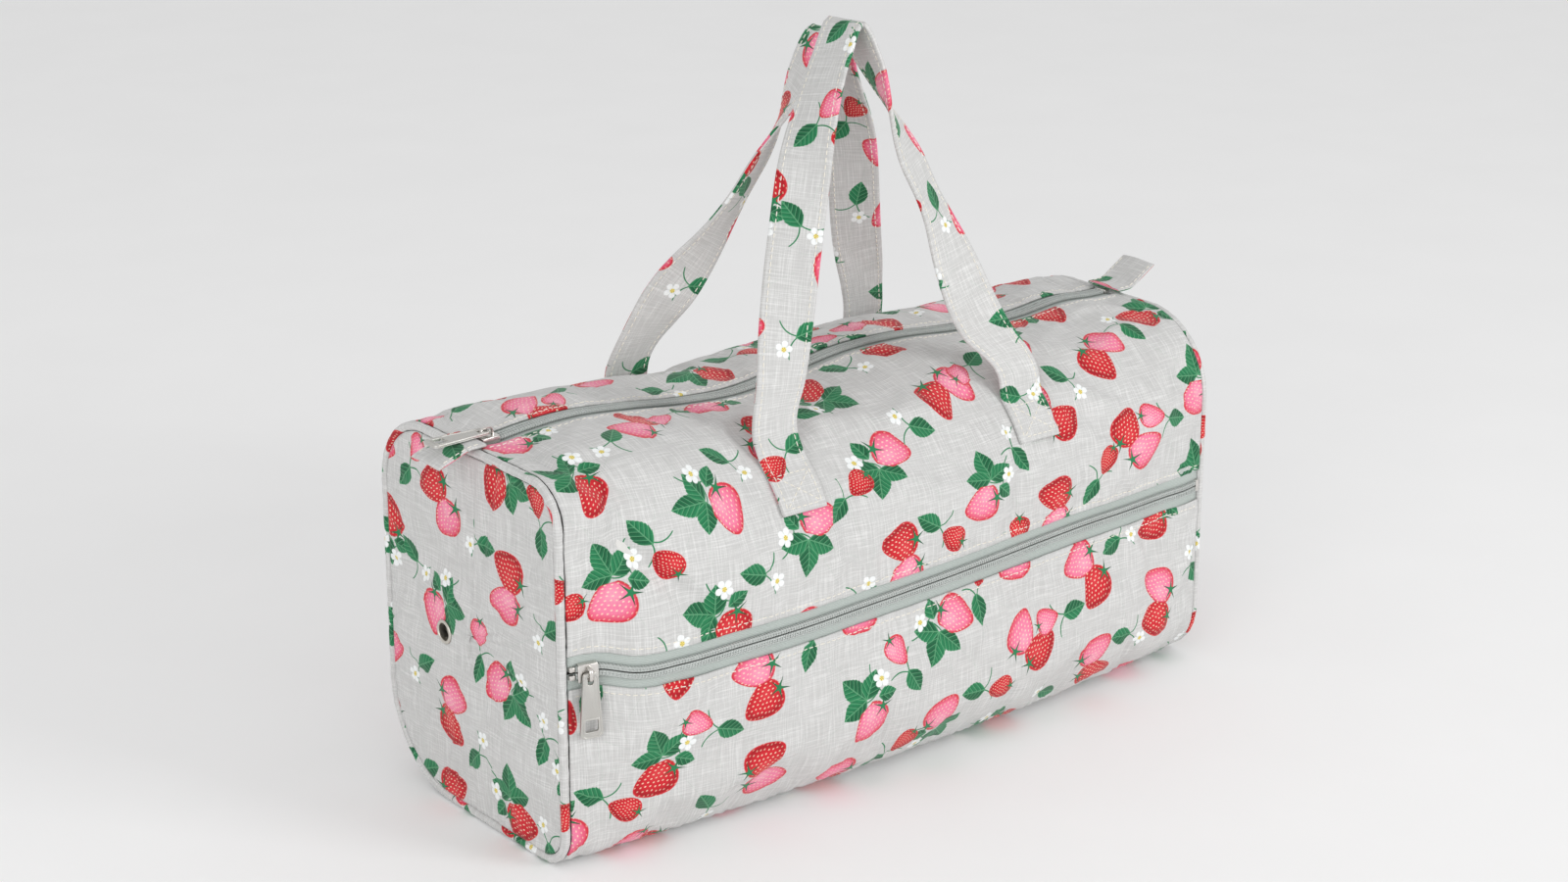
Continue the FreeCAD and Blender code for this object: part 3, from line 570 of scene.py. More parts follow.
def make_lining(node):
    """A lining: the CAD sheet cut into small faces, drawn in a little from the shell and hung with it."""
    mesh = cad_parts[node].data.copy()
    mesh.transform(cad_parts[node].matrix_world)

    def cut_up(form):
        for axis, low, high, step in ((0, -200, 200, 20), (1, -95, 85, 18), (2, 15, 190, 17)):
            for level in range(low, high + 1, step):
                point, normal = Vector((0, 0, 0)), Vector((0, 0, 0))
                point[axis], normal[axis] = level * MM, 1
                everything = form.verts[:] + form.edges[:] + form.faces[:]
                bmesh.ops.bisect_plane(form, geom=everything, plane_co=point, plane_no=normal, dist=1e-6)

    rework(mesh, cut_up)
    x, y, z = np.array([v.co for v in mesh.vertices], float).T / MM
    soft = 0.5 * np.sin(x / 19 + z / 13) + 0.4 * np.sin(y / 11 - x / 27)
    narrow = 0.972 + 0.002 * soft
    drawn = np.stack([x * 0.997, y * narrow, MIDDLE_Z + (z - MIDDLE_Z) * narrow], 1)
    mesh.vertices.foreach_set("co", (drape(drawn) * MM).ravel())
    mesh.update()
    mesh.materials.clear()
    return on_bag(new_object(f"{node}_cloth", mesh), node)


LININGS = [make_lining(node) for node in ("main_lining", "needle_lining", "needle_divider")]


def punched(piece, centre, radius):
    """The piece with a round hole along X cut through it."""
    drill = bpy.data.meshes.new("drill")
    form = bmesh.new()
    turned = Matrix.Translation(Vector(centre) * MM) @ Matrix.Rotation(math.pi / 2, 4, "Y")
    sizes = {"radius1": radius * MM, "radius2": radius * MM, "depth": 0.012}
    bmesh.ops.create_cone(form, cap_ends=True, segments=40, matrix=turned, **sizes)
    form.to_mesh(drill)
    form.free()
    tool = new_object("drill", drill)
    cut = piece.modifiers.new("hole", "BOOLEAN")
    cut.object, cut.solver = tool, "EXACT"
    depsgraph = bpy.context.evaluated_depsgraph_get()
    holed = bpy.data.meshes.new_from_object(piece.evaluated_get(depsgraph))
    piece.modifiers.remove(cut)
    piece.data = holed
    bpy.data.objects.remove(tool)
    return piece


punched(left_end_cloth, (-END_FACE_X, EYELET_Y, EYELET_Z), 5.35)


# ---- zips ----


def top_track(x, across, out):
    x, across, out = np.broadcast_arrays(x, across, out)
    return drape(np.stack([x, across, HEIGHT + out], -1))


def needle_track(x, across, out):
    x, across, out = np.broadcast_arrays(x, across, out)
    return drape(np.stack([x, -front_depth(x) - out, NEEDLE_ZIP_Z + across], -1))


def tube_along(name, line, radius, ups, sides=6):
    """A tube of one radius, or of one at each point, along a dense line."""
    tangent = unit(np.gradient(line, axis=0))
    side = unit(np.cross(tangent, ups))
    rise = np.cross(side, tangent)
    angles = np.linspace(0, 2 * math.pi, sides, endpoint=False)
    reach = np.broadcast_to(np.asarray(radius, float), (len(line),))[:, None, None]
    turned = side[:, None] * np.cos(angles)[:, None] + rise[:, None] * np.sin(angles)[:, None]
    return tube_mesh(name, line[:, None] + reach * turned, np.linspace(0, 1, sides + 1), run_length(line))


def joined(name, pieces):
    with bpy.context.temp_override(active_object=pieces[0], selected_editable_objects=pieces):
        bpy.ops.object.join()
    pieces[0].name = name
    return pieces[0]


def make_tape(name, track, sign, node):
    """Half of a zip's tape, with a thicker woven edge beside the coil."""
    x = np.linspace(-TAPE_REACH, TAPE_REACH, 150)
    across = np.array([TAPE_START, 1.6, 3.6, 3.9, 4.6, 7.0, 9.5, 12.2, TAPE_EDGE])
    top = TAPE_INSET + np.array([0.15, 0, 0, -0.12, 0, 0, 0, 0, 0.2])
    low = TAPE_INSET + np.array([0.65, 0.8, 0.8, 0.8, 0.8, 0.8, 0.8, 0.8, 0.6])
    ring_across = sign * np.concatenate([across, across[::-1]])
    ring_out = -np.concatenate([top, low[::-1]])
    girth = np.concatenate([across, 2 * TAPE_EDGE - across[::-1], [2 * TAPE_EDGE + 0.5]])
    return on_bag(tube_mesh(name, track(x[:, None], ring_across, ring_out), girth, x), node)


def make_coil(name, track, sign, node):
    """Half of a zip's chain: a flattened spiral on a filler cord, sewn down with two rows of thread."""
    start = -COIL_REACH + 0.4
    angle = np.arange(0, -2 * start / COIL_PITCH * 12) / 12 * 2 * math.pi
    x = start + angle / (2 * math.pi) * COIL_PITCH
    phase = angle + (math.pi if sign > 0 else 0)
    flat = lambda wave: np.sign(wave) * abs(wave) ** 0.75
    spiral = track(x, sign * (COIL_MIDDLE + 1.36 * flat(np.cos(phase))), -0.3 + 0.9 * flat(np.sin(phase)))
    ups = unit(spiral - track(x, sign * COIL_MIDDLE, -0.3))
    pieces = [tube_along(name, spiral, 0.29, ups, 5)]
    x = np.linspace(-COIL_REACH + 0.2, COIL_REACH - 0.2, 280)
    ups = track(x, 0.0, 9.0) - track(x, 0.0, 0.0)
    for offset, out, radius in ((1.05, -0.4, 0.78), (2.2, -0.3, 0.8), (2.75, 0.62, 0.2)):
        line = track(x, sign * offset, out + 0.05 * np.sin(x * 4))
        pieces.append(tube_along("filler", line, radius, ups))
    return on_bag(joined(name, pieces), node)


def nub(low, high, radius, track):
    """A small metal crimp between two corners given as (x, across, out)."""
    form = bmesh.new()
    bmesh.ops.create_cube(form, size=1)
    sides = np.array(high) - np.array(low)
    for corner in form.verts:
        corner.co = Vector(np.array(low) + (np.array(corner.co) + 0.5) * sides)
    edges = form.verts[:] + form.edges[:]
    bmesh.ops.bevel(form, geom=edges, offset=radius, segments=3, profile=0.5, affect="EDGES")
    form.verts.ensure_lookup_table()
    points = np.array([v.co for v in form.verts])
    faces = [[v.index for v in face.verts] for face in form.faces]
    form.free()
    return new_mesh("crimp", track(points[:, 0], points[:, 1], points[:, 2]), faces)


def make_stops(name, track, node):
    """The crimps at the ends of a zip: one on each coil at the left and one over both at the right."""
    start, end = COIL_REACH + 0.3, COIL_REACH + 3.2
    corners = [
        ((-end, -3.4, -1.5), (-start, -0.8, 0.7), 0.5),
        ((-end, 0.8, -1.5), (-start, 3.4, 0.7), 0.5),
        ((start, -3.4, -1.5), (end, 3.4, 0.7), 0.6),
    ]
    return on_bag(joined(name, [nub(*corner, track) for corner in corners]), node)


TRACKS = {"top": top_track, "needle": needle_track}
HALVES = [("top", "front", -1), ("top", "rear", 1), ("needle", "lower", -1), ("needle", "upper", 1)]
TAPES, COILS = (
    [make(f"{zip_name}_{part}_{half}", TRACKS[zip_name], sign, f"{zip_name}_zip_{part}_{half}")
     for zip_name, half, sign in HALVES]
    for make, part in ((make_tape, "tape"), (make_coil, "coil"))
)
STOPS = [make_stops(f"{key}_crimps", track, f"{key}_zip_stops") for key, track in TRACKS.items()]


# ---- sliders and pulls: x along the zip, y across it, z out of the cloth ----


def round_box(wide, tall, radius, centre=(0, 0), steps=8):
    """The outline of a rectangle with round corners."""
    points = []
    for quarter, (sx, sy) in enumerate(((1, 1), (-1, 1), (-1, -1), (1, -1))):
        cx, cy = centre[0] + sx * (wide / 2 - radius), centre[1] + sy * (tall / 2 - radius)
        for k in range(steps + 1):
            angle = math.pi / 2 * (quarter + k / steps)
            points.append((cx + radius * math.cos(angle), cy + radius * math.sin(angle)))
    return points


def plate(name, outlines, low, high, bevel):
    """A flat plate between two heights with a rounded rim. The outlines after the first are openings."""
    curve = bpy.data.curves.new(name, "CURVE")
    curve.dimensions, curve.fill_mode = "2D", "BOTH"
    curve.extrude = ((high - low) / 2 - bevel) * MM
    curve.bevel_depth, curve.bevel_resolution, curve.offset = bevel * MM, 2, -bevel * MM
    for index, points in enumerate(outlines):
        points = points[::-1] if index else points
        spline = curve.splines.new("POLY")
        spline.points.add(len(points) - 1)
        spline.points.foreach_set("co", [c for x, y in points for c in (x * MM, y * MM, 0, 1)])
        spline.use_cyclic_u = True
    shape = new_object(name, curve)
    depsgraph = bpy.context.evaluated_depsgraph_get()
    mesh = bpy.data.meshes.new_from_object(shape.evaluated_get(depsgraph))
    bpy.data.objects.remove(shape)
    mesh.transform(Matrix.Translation((0, 0, (low + high) / 2 * MM)))
    rework(mesh, lambda form: bmesh.ops.remove_doubles(form, verts=form.verts, dist=1e-6))
    return new_object(name, mesh)


def finish_metal(pieces, name, where, body, node):
    """Joins the pieces and puts them in place on their body, with sharp edges kept sharp."""
    piece = joined(name, pieces)
    piece.data.transform(where)
    smooth(piece.data)
    piece.data.set_sharp_from_angle(angle=math.radians(35))
    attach(piece, body)
    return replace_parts(piece, node)


def direct(x, across, out):
    return np.stack([x, across, out], -1)


def make_slider(name, where, across, body, node):
    """Two plates round the coils, turned-down sides, a thin post between the coils and a bail."""
    waist = [
        (-5.4, -3.9), (-4.6, -4.6), (-2.0, -4.75), (3.6, -4.75), (5.0, -4.3), (5.4, -3.2),
        (5.4, 3.2), (5.0, 4.3), (3.6, 4.75), (-2.0, 4.75), (-4.6, 4.6), (-5.4, 3.9),
    ]
    pieces = [plate(name, [waist], 1.22, 2.4, 0.4), plate("floor", [waist], -3.8, -2.65, 0.4)]
    for sign in (-1, 1):
        low, high = sorted((sign * 4.05, sign * 4.75))
        pieces.append(nub((-5.0, low, -1.15), (5.0, high, 1.9), 0.3, direct))
    pieces.append(nub((-5.3, -0.12, -3.0), (-2.7, 0.12, 1.7), 0.1, direct))
    t = np.linspace(0, math.pi, 25)
    arch = direct(3.3 * np.sign(np.cos(t)) * abs(np.cos(t)) ** 0.55, 0 * t, 1.9 + 4.25 * np.sin(t) ** 0.6)
    bail = tube_along("bail", arch, 0.62, np.tile([0.0, 1, 0], (25, 1)), 10)
    bail.data.transform(Matrix.Diagonal((1, 1.65, 1, 1)))
    if across:
        bail.data.transform(Matrix.Rotation(math.pi / 2, 4, "Z"))
    return finish_metal([*pieces, bail], name, where, body, node)


def make_pull(name, where, body, node):
    """A pressed metal pull with an eye round the bail, a window near its end and a raised border."""
    middle, window_middle = -16.2, (-26.8, 0)
    outer = round_box(34.0, 12.0, 2.6, (middle, 0))
    head = [(x, y * (0.66 + 0.34 * float(eased((-x - 3.0) / 6.0)))) for x, y in outer]
    eye, window = round_box(4.6, 3.0, 0.9, (-2.9, 0)), round_box(6.0, 7.0, 0.9, window_middle)
    pieces = [plate(name, [head, eye, window], -0.62, 0.62, 0.3)]
    inner_rim = [(middle - 0.4 + (x - middle) * 0.93, y * 0.8) for x, y in head]
    window_rim = round_box(8.0, 9.0, 1.3, window_middle)
    for low, high in ((0.3, 0.8), (-0.8, -0.3)):
        pieces.append(plate("rim", [head, inner_rim], low, high, 0.2))
        pieces.append(plate("rim", [window_rim, window], low, high, 0.15))
    return finish_metal(pieces, name, where, body, node)


def place_mm(x, y, z):
    return Matrix.Translation((x * MM, y * MM, z * MM))


BOW_RADIUS = (REACH**2 + (FRONT_DEPTH - END_DEPTH) ** 2) / (2 * (FRONT_DEPTH - END_DEPTH))
NEEDLE_PLACE = (
    place_mm(0, BOW_RADIUS - FRONT_DEPTH, 0)
    @ Matrix.Rotation(-math.asin(PARK / BOW_RADIUS), 4, "Z")
    @ place_mm(0, -BOW_RADIUS, NEEDLE_ZIP_Z)
    @ Matrix.Rotation(math.pi / 2, 4, "X")
)
NEEDLE_HINGE = NEEDLE_PLACE @ place_mm(0, 0, PULL_RISE) @ Matrix.Rotation(math.pi / 2, 4, "Z")
TOP_PLACE, TOP_HINGE = place_mm(-PARK, 0, HEIGHT), place_mm(-PARK, 0, HEIGHT + PULL_RISE)
SLIDERS = [
    make_slider("top_slider_body", TOP_PLACE, False, "top_slider", "top_slider"),
    make_slider("needle_slider_body", NEEDLE_PLACE, True, "needle_slider", "needle_slider"),
]
PULLS = [
    make_pull("top_pull_plate", TOP_HINGE, "top_pull", "top_pull"),
    make_pull("needle_pull_plate", NEEDLE_HINGE, "needle_pull", "needle_pull"),
]


# ---- eyelet ----


def make_eyelet():
    """A rolled metal ring: a section of (x, radius) points turned about a line along X."""
    x, radius = np.array([
        (-213.75, 4.62), (-216.0, 4.6), (-219.3, 4.6), (-219.65, 4.68), (-219.9, 4.95), (-220.0, 5.35),
        (-219.95, 5.85), (-219.75, 6.25), (-219.45, 6.48), (-219.1, 6.42), (-219.02, 6.0), (-219.02, 5.14),
        (-218.6, 5.08), (-214.45, 5.08), (-214.32, 5.3), (-214.3, 5.7), (-214.0, 5.74), (-213.8, 5.3),
    ]).T
    turn = np.linspace(0, 2 * math.pi, 64, endpoint=False)[:, None]
    rings = direct(x + 0 * turn, EYELET_Y + radius * np.cos(turn), EYELET_Z + radius * np.sin(turn))
    piece = tube_mesh("eyelet_ring", rings, np.arange(len(x) + 1), np.arange(65) * 0.6, wrap_rows=True)
    return on_bag(piece, "yarn_eyelet")


eyelet_ring = make_eyelet()


# ---- straps ----


def length_at(x, z, face_sign):
    """How far round the bag from the middle of the top a height on the front or on the back is."""
    points, measure = outline(x)
    half = len(points) // 2
    if face_sign < 0:
        return np.interp(z, points[:half, 1][::-1], measure[:half][::-1])
    return np.interp(z, points[half:, 1], measure[half:])


def strap_turn(share, steady):
    """How much of its quarter turn a strap has made at a share of its way up."""
    if steady:
        return 0.42 * eased(share / 0.45) + 0.58 * eased((share - 0.5) / 0.4)
    return -0.2 * eased(share / 0.2) + 0.5 * eased((share - 0.2) / 0.35) + 0.7 * eased((share - 0.6) / 0.35)


class Strap:
    """A handle's strap from one foot up over the apex to the other foot, as one folded ribbon."""

    def __init__(self, face_sign, shift, apex, lie):
        surface = FRONT if face_sign < 0 else BACK
        a, b = np.array(lie).T
        depth = face_sign * (FOLD_DEPTH - (FOLD_DEPTH - APEX_DEPTH) * b)
        arch = np.stack([shift + HANDLE_SPREAD * a, depth, STRAP_Z + (apex - STRAP_Z) * b], 1)
        feet = []
        for x in (shift - HANDLE_SPREAD, shift + HANDLE_SPREAD):
            lengths = [length_at(x, z, face_sign) for z in (FOOT_Z, 167, 171, 175, 179, 182.5)]
            feet.append(surface.at(x, lengths, STRAP_CLOTH / 2 + 0.35)[0])
        knots = np.concatenate([feet[0], arch, feet[1][::-1]])
        chord = run_length(knots)
        fine = np.linspace(0, chord[-1], 4000)
        line = np.stack([along(list(zip(chord, values)), fine) for values in knots.T], 1)
        measure = run_length(line)
        self.length = measure[-1]
        self.s = np.linspace(0, self.length, 260)
        self.line = read_along(self.s, measure, line)
        at = np.interp(self.s, measure, fine)
        start, end = chord[len(feet[0])], chord[-len(feet[1]) - 1]
        top = chord[np.argmax(knots[:, 2])]
        before = at <= top
        share = np.clip(np.where(before, (at - start) / (top - start), (end - at) / (end - top)), 0, 1)
        made = np.where(before, strap_turn(share, face_sign < 0), strap_turn(share, face_sign > 0))
        turn = np.where(before, math.pi / 2 * made, math.pi - math.pi / 2 * made)
        tangent = unit(np.gradient(self.line, axis=0))
        wide = np.stack([np.cos(turn), face_sign * np.sin(turn), 0 * turn], 1)
        wide = unit(wide - tangent * ((wide * tangent).sum(1) * eased(share / 0.3))[:, None])
        self.wide, self.normal = wide, unit(np.cross(tangent, wide))
        self.foot_out = -1.0 if face_sign * self.normal[0, 1] < 0 else 1.0

    def thickness(self, w):
        """Half the thickness across the width: full at the folded edges, drawn down along the stitching."""
        w = abs(np.asarray(w, float))
        half = STRAP_CLOTH / 2
        edge = np.clip((w - STRAP_WIDTH / 2 + half) / half, 0, 1)
        dip = 0.22 * np.exp(-(((w - STRAP_SEAM) / 1.1) ** 2)) + 0.12 * np.exp(-((w / 7) ** 2))
        return (half - dip) * np.sqrt(np.maximum(1 - edge**2, 0.0))

    def at(self, s, w, side, out=0.0):
        """Points and normals on one face of the strap: s along it, w across it."""
        s, w = np.broadcast_arrays(np.asarray(s, float), np.asarray(w, float))
        read = lambda field: read_along(s, self.s, field)
        wide, normal = unit(read(self.wide)), unit(read(self.normal)) * side
        wave = 0.25 * np.sin(s / 9.0 + w / 6) * eased((s - 34) / 10) * eased((self.length - 34 - s) / 10)
        lift = self.thickness(w) + out + side * wave
        return read(self.line) + wide * w[..., None] + normal * lift[..., None], normal

    def make(self, name):
        half = STRAP_WIDTH / 2
        across = half * np.sin(np.linspace(-math.pi / 2, math.pi / 2, 15))
        back = across[-2:0:-1]
        s = self.s[:, None]
        rings = np.concatenate([self.at(s, across, 1)[0], self.at(s, back, -1)[0]], 1)
        for k in (0, -1):
            rings[k] = self.line[k] + (rings[k] - self.line[k]) * 0.97
        girth = np.concatenate([across, 2 * half - back + 1, [3 * half + 1]])
        return tube_mesh(name, rings, girth + 95, self.s)


def stitches(name, lines, pitch=3.7, length=2.8):
    """Rows of thread along dense lines of (points, normals). A stitch sinks into the cloth at its ends."""
    rings, angles = [], np.linspace(0, 2 * math.pi, 6, endpoint=False)
    for points, normals in lines:
        measure = run_length(points)
        count = max(1, int(measure[-1] / pitch))
        starts = (measure[-1] - count * pitch) / 2 + (pitch - length) / 2 + np.arange(count) * pitch
        steps = starts[:, None] + np.array([0, 0.18, 0.82, 1]) * length
        spot, normal = read_along(steps, measure, points), unit(read_along(steps, measure, normals))
        tangent = unit(spot[:, -1:] - spot[:, :1])
        side = unit(np.cross(normal, tangent))
        spot = spot + normal * np.array([-0.2, 0.1, 0.1, -0.2])[:, None]
        reach = np.array([0.12, 0.29, 0.29, 0.12])[:, None, None]
        ring = side[:, :, None] * np.cos(angles)[:, None] + normal[:, :, None] * np.sin(angles)[:, None]
        rings.append(spot[:, :, None] + reach * ring)
    rings = np.concatenate(rings)
    ids, _ = quads(4, 6, False, True)
    faces = ids[None] + np.arange(len(rings))[:, None, None] * 24
    return new_mesh(name, rings.reshape(-1, 3), faces.reshape(-1, 4).tolist())


def strap_seams(strap):
    """Two rows along the strap on both its faces, and a box with a cross on each foot."""
    end, row = strap.length, STRAP_SEAM
    lines = []
    for side in (-1, 1):
        margin = 2.5 if side == strap.foot_out else 31
        lines += [strap.at(np.linspace(margin, end - margin, 900), w, side) for w in (-row, row)]
    t = np.linspace(0, 1, 60)
    for near, far in ((3.0, 20.5), (end - 3.0, end - 20.5)):
        for s0, w0, s1 in ((near, -row, near), (far, -row, far), (near, -row, far), (near, row, far)):
            lines.append(strap.at(s0 + (s1 - s0) * t, w0 - 2 * w0 * t, strap.foot_out))
    return lines


STRAP_PIECES, STRAP_LENGTHS, THREADS = [], [], []
for name, face_sign, shift, apex, lie in (
    ("front_handle", -1, 0.0, FRONT_APEX, FRONT_LIE),
    ("rear_handle", 1, REAR_SHIFT, REAR_APEX, REAR_LIE),
):
    strap = Strap(face_sign, shift, apex, lie)
    ribbon = strap.make(f"{name}_strap")
    thread = stitches(f"{name}_stitching", strap_seams(strap))
    for piece in (ribbon, thread):
        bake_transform(piece)
    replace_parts(ribbon, name, f"{name}_left_foot", f"{name}_right_foot")
    STRAP_PIECES.append(ribbon)
    STRAP_LENGTHS.append(strap.length)
    THREADS.append(thread)


# ---- tabs ----


def make_tab(side, sign, drop):
    """A folded ribbon over the end of the top zip, its fold at the tip, with its two stitch rows."""
    length, half = TAB_LENGTH, TAB_WIDTH / 2
    s = np.linspace(0, length, 30)[:, None]
    bend = eased((s - 6) / 8)
    slope = drop * np.concatenate([[[0]], np.cumsum(np.diff(s, axis=0) * (bend[1:] + bend[:-1]) / 2, axis=0)])
    across = half * np.sin(np.linspace(-math.pi / 2, math.pi / 2, 13))
    edge = np.sqrt(np.maximum(1 - np.clip(abs(across) - half + 1, 0, 1) ** 2, 0))
    tip = np.sqrt(np.maximum(1 - np.clip((s - length + 1.2) / 1.2, 0, 1) ** 2, 0.02))
    swell = 0.85 + 0.15 * eased((s - 12) / 12) + 0.06 * np.sin(s / 2.3)
    rise = swell * tip * edge * (1 - 0.12 * np.exp(-((abs(across) - 9.8) ** 2)))
    middle = HEIGHT + TAB_RISE + TAB_CLOTH / 2 + slope + 0.35 * np.sin(across / 5 + 1) * bend
    x, y = np.broadcast_arrays(sign * (214.0 + s), across)
    top, low = direct(x, y, middle + rise), direct(x, y, middle - rise)
    rings = np.concatenate([top, low[:, -2:0:-1]], 1)
    girth = np.concatenate([across, 26 - across[-2:0:-1], [40]]) + 160 + 40 * sign
    ribbon = tube_mesh(f"{side}_tab_ribbon", rings, girth, s[:, 0] + 20)
    lines = []
    for column in (2, 10):
        points = rings[2:-2, column]
        points = read_along(np.linspace(0, len(points) - 1, 80), np.arange(len(points)), points)
        lines.append((points, np.tile([0.0, 0, 1], (80, 1))))
    thread = stitches(f"{side}_tab_stitching", lines)
    for piece in (ribbon, thread):
        low, high = Vector((sign * 219.5, 0, 203)), Vector((sign * 223.5, 0, 203))
        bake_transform(piece)
    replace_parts(ribbon, f"{side}_tab", f"{side}_tab_root")
    return ribbon, thread


TABS = []
for side, sign, drop in (("left", -1, -0.36), ("right", 1, 0.62)):
    ribbon, thread = make_tab(side, sign, drop)
    TABS.append(ribbon)
    THREADS.append(thread)


def panel_seams():
    """The rows of stitching that hold the zips in, 3 mm from the folded edges."""
    x = np.linspace(-213.5, 213.5, 1400)
    rows = ((FRONT, 0, 3), (FRONT, -1, -3), (BACK, 0, 3), (BACK, -1, -3))
    return [face.at(x, np.interp(x, COLUMNS, face.lengths[:, edge]) + inward) for face, edge, inward in rows]


panel_stitching = stitches("panel_stitching", panel_seams())
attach(panel_stitching, BAG)
THREADS.append(panel_stitching)


# ---- materials ----


def feed(tree, pin, value):
    """Links a wire or a socket to the pin, or sets a number or a colour on it."""
    value = value.socket if isinstance(value, Wire) else value
    if isinstance(value, bpy.types.NodeSocket):
        tree.links.new(value, pin)
    else:
        pin.default_value = (*value, 1) if isinstance(value, tuple) else value


def math_node(kind):
    """A method of a wire that puts a Math node after it."""
    return lambda wire, *others: wire.op(kind, *others)


class Wire:
    """A value in a node tree. Arithmetic on wires adds Math nodes."""

    def __init__(self, tree, socket):
        self.tree, self.socket = tree, socket

    def op(self, kind, *others):
        node = self.tree.nodes.new("ShaderNodeMath")
        node.operation = kind
        for pin, value in zip(node.inputs, (self, *others)):
            feed(self.tree, pin, value)
        return Wire(self.tree, node.outputs[0])

    __add__ = __radd__ = math_node("ADD")
    __sub__ = math_node("SUBTRACT")
    __mul__ = __rmul__ = math_node("MULTIPLY")
    __truediv__ = math_node("DIVIDE")
    __abs__ = math_node("ABSOLUTE")
    part, floor = math_node("FRACT"), math_node("FLOOR")

    def __rsub__(self, other):
        return self * -1.0 + other

    def step(self, low, high):
        """0 below low and 1 above high, smoothly. With low above high it falls."""
        node = self.tree.nodes.new("ShaderNodeMapRange")
        node.interpolation_type = "SMOOTHSTEP"
        feed(self.tree, node.inputs["Value"], self)
        first, last = (1, 0) if low > high else (0, 1)
        low, high = sorted((low, high))
        set_pins(node, {"From Min": low, "From Max": high, "To Min": first, "To Max": last})
        return Wire(self.tree, node.outputs["Result"])


def sine(wire, pitch):
    """A sine wave of the wire's value with this pitch."""
    return (wire * (2 * math.pi / pitch)).op("SINE")


def length_of(x, y):
    return (x * x + y * y).op("SQRT")


def largest(x, y):
    return x.op("MAXIMUM", y)


def turned(x, y, cosine, sine):
    return x * cosine + y * sine, y * cosine - x * sine


def turn_by(x, y, degrees):
    return turned(x, y, math.cos(math.radians(degrees)), math.sin(math.radians(degrees)))


def set_pins(node, values):
    for name, value in values.items():
        node.inputs[name].default_value = value
    return node


def mix(tree, low, high, share, kind="MIX"):
    """The socket of a Mix node between two colours or colour sockets."""
    node = tree.nodes.new("ShaderNodeMix")
    node.data_type, node.blend_type = "RGBA", kind
    for pin, value in ((0, share), (6, low), (7, high)):
        feed(tree, node.inputs[pin], value)
    return node.outputs[2]


class Paper:
    """Colours laid over one another in a node tree."""

    def __init__(self, tree, low, high, share):
        self.tree, self.colour = tree, mix(tree, low, high, share)

    def mixed(self, low, high, share):
        return mix(self.tree, low, high, share)

    def lay(self, colour, share):
        self.colour = self.mixed(self.colour, colour, share)


RED, RED_DARK, RED_LIGHT = (0.60, 0.018, 0.028), (0.27, 0.004, 0.010), (0.74, 0.06, 0.07)
PINK, PINK_DARK, PINK_LIGHT = (0.86, 0.22, 0.36), (0.70, 0.05, 0.10), (0.93, 0.42, 0.54)
GREEN, GREEN_DARK, GREEN_LIGHT = (0.022, 0.21, 0.085), (0.008, 0.075, 0.032), (0.18, 0.46, 0.25)
SEED, WHITE, YELLOW = (0.93, 0.74, 0.55), (0.86, 0.88, 0.88), (0.86, 0.68, 0.22)


def noise(tree, vector, scale, detail=2.0, rough=0.5):
    node = tree.nodes.new("ShaderNodeTexNoise")
    set_pins(node, {"Scale": scale, "Detail": detail, "Roughness": rough})
    tree.links.new(vector, node.inputs["Vector"])
    return Wire(tree, node.outputs[0])


def join_xyz(tree, *values):
    node = tree.nodes.new("ShaderNodeCombineXYZ")
    for pin, value in zip(node.inputs, values):
        feed(tree, pin, value)
    return node.outputs[0]


def parted(tree, socket, kind="ShaderNodeSeparateXYZ", scale=1000.0):
    """The parts of a vector in metres as wires in mm."""
    split = tree.nodes.new(kind)
    tree.links.new(socket, split.inputs[0])
    return [Wire(tree, split.outputs[k]) * scale for k in range(3)]


def uv_wires(tree):
    """The UVs in mm."""
    node = tree.nodes.new("ShaderNodeUVMap")
    node.uv_map = "UVMap"
    return parted(tree, node.outputs[0])[:2]


def place_wires(tree):
    """The place on the piece in mm."""
    return parted(tree, tree.nodes.new("ShaderNodeTexCoord").outputs["Object"])


def lay_leaf(paper, x, y, long, wide, on):
    """A serrated leaf from the origin along +y, lighter at its rim and veins."""
    t = (y / long).op("MINIMUM", 1.0).op("MAXIMUM", 0.0)
    form = t * (1.0 - t) * (1.25 - 0.5 * t) * (4.0 * wide)
    teeth = ((y / 2.3 + abs(x) * -0.25).part() - 0.5) * 0.5
    inside = form + teeth * (form / wide).op("MINIMUM", 1.0) - abs(x)
    shape = inside.step(-0.12, 0.18) * on
    vein = ((y - abs(x) * 0.9) / 2.9).part()
    rib = largest(vein.step(0.2, 0.05), abs(x).step(0.42, 0.12))
    shade = (x * 0.22 + 0.5).step(0.0, 1.0) * 0.55 + vein.step(0.2, 1.0) * 0.35
    colour = paper.mixed(GREEN, GREEN_DARK, shade)
    colour = paper.mixed(colour, GREEN_LIGHT, rib * 0.55)
    colour = paper.mixed(colour, GREEN_LIGHT, inside.step(0.55, 0.1) * 0.35)
    paper.lay(colour, shape)


def lay_flower(paper, x, y, size, on):
    """Five white petals round a yellow middle."""
    far, angle = length_of(x, y), y.op("ARCTAN2", x)
    lobe = abs((angle * 2.5).op("COSINE"))
    petals = (far / (0.5 + 0.5 * lobe.op("POWER", 0.6))).step(size * 1.06, size * 0.92) * on
    shade = lobe.step(0.55, 0.05) * far.step(0.6, size * 0.5) * 0.45 + far.step(size * 0.55, 0.8) * 0.22
    paper.lay(paper.mixed(WHITE, (0.52, 0.58, 0.55), shade), petals)
    middle = paper.mixed(YELLOW, (0.45, 0.40, 0.06), (angle * 5.0).op("SINE").step(-0.2, 0.8))
    paper.lay(middle, far.step(1.5, 1.05) * on)


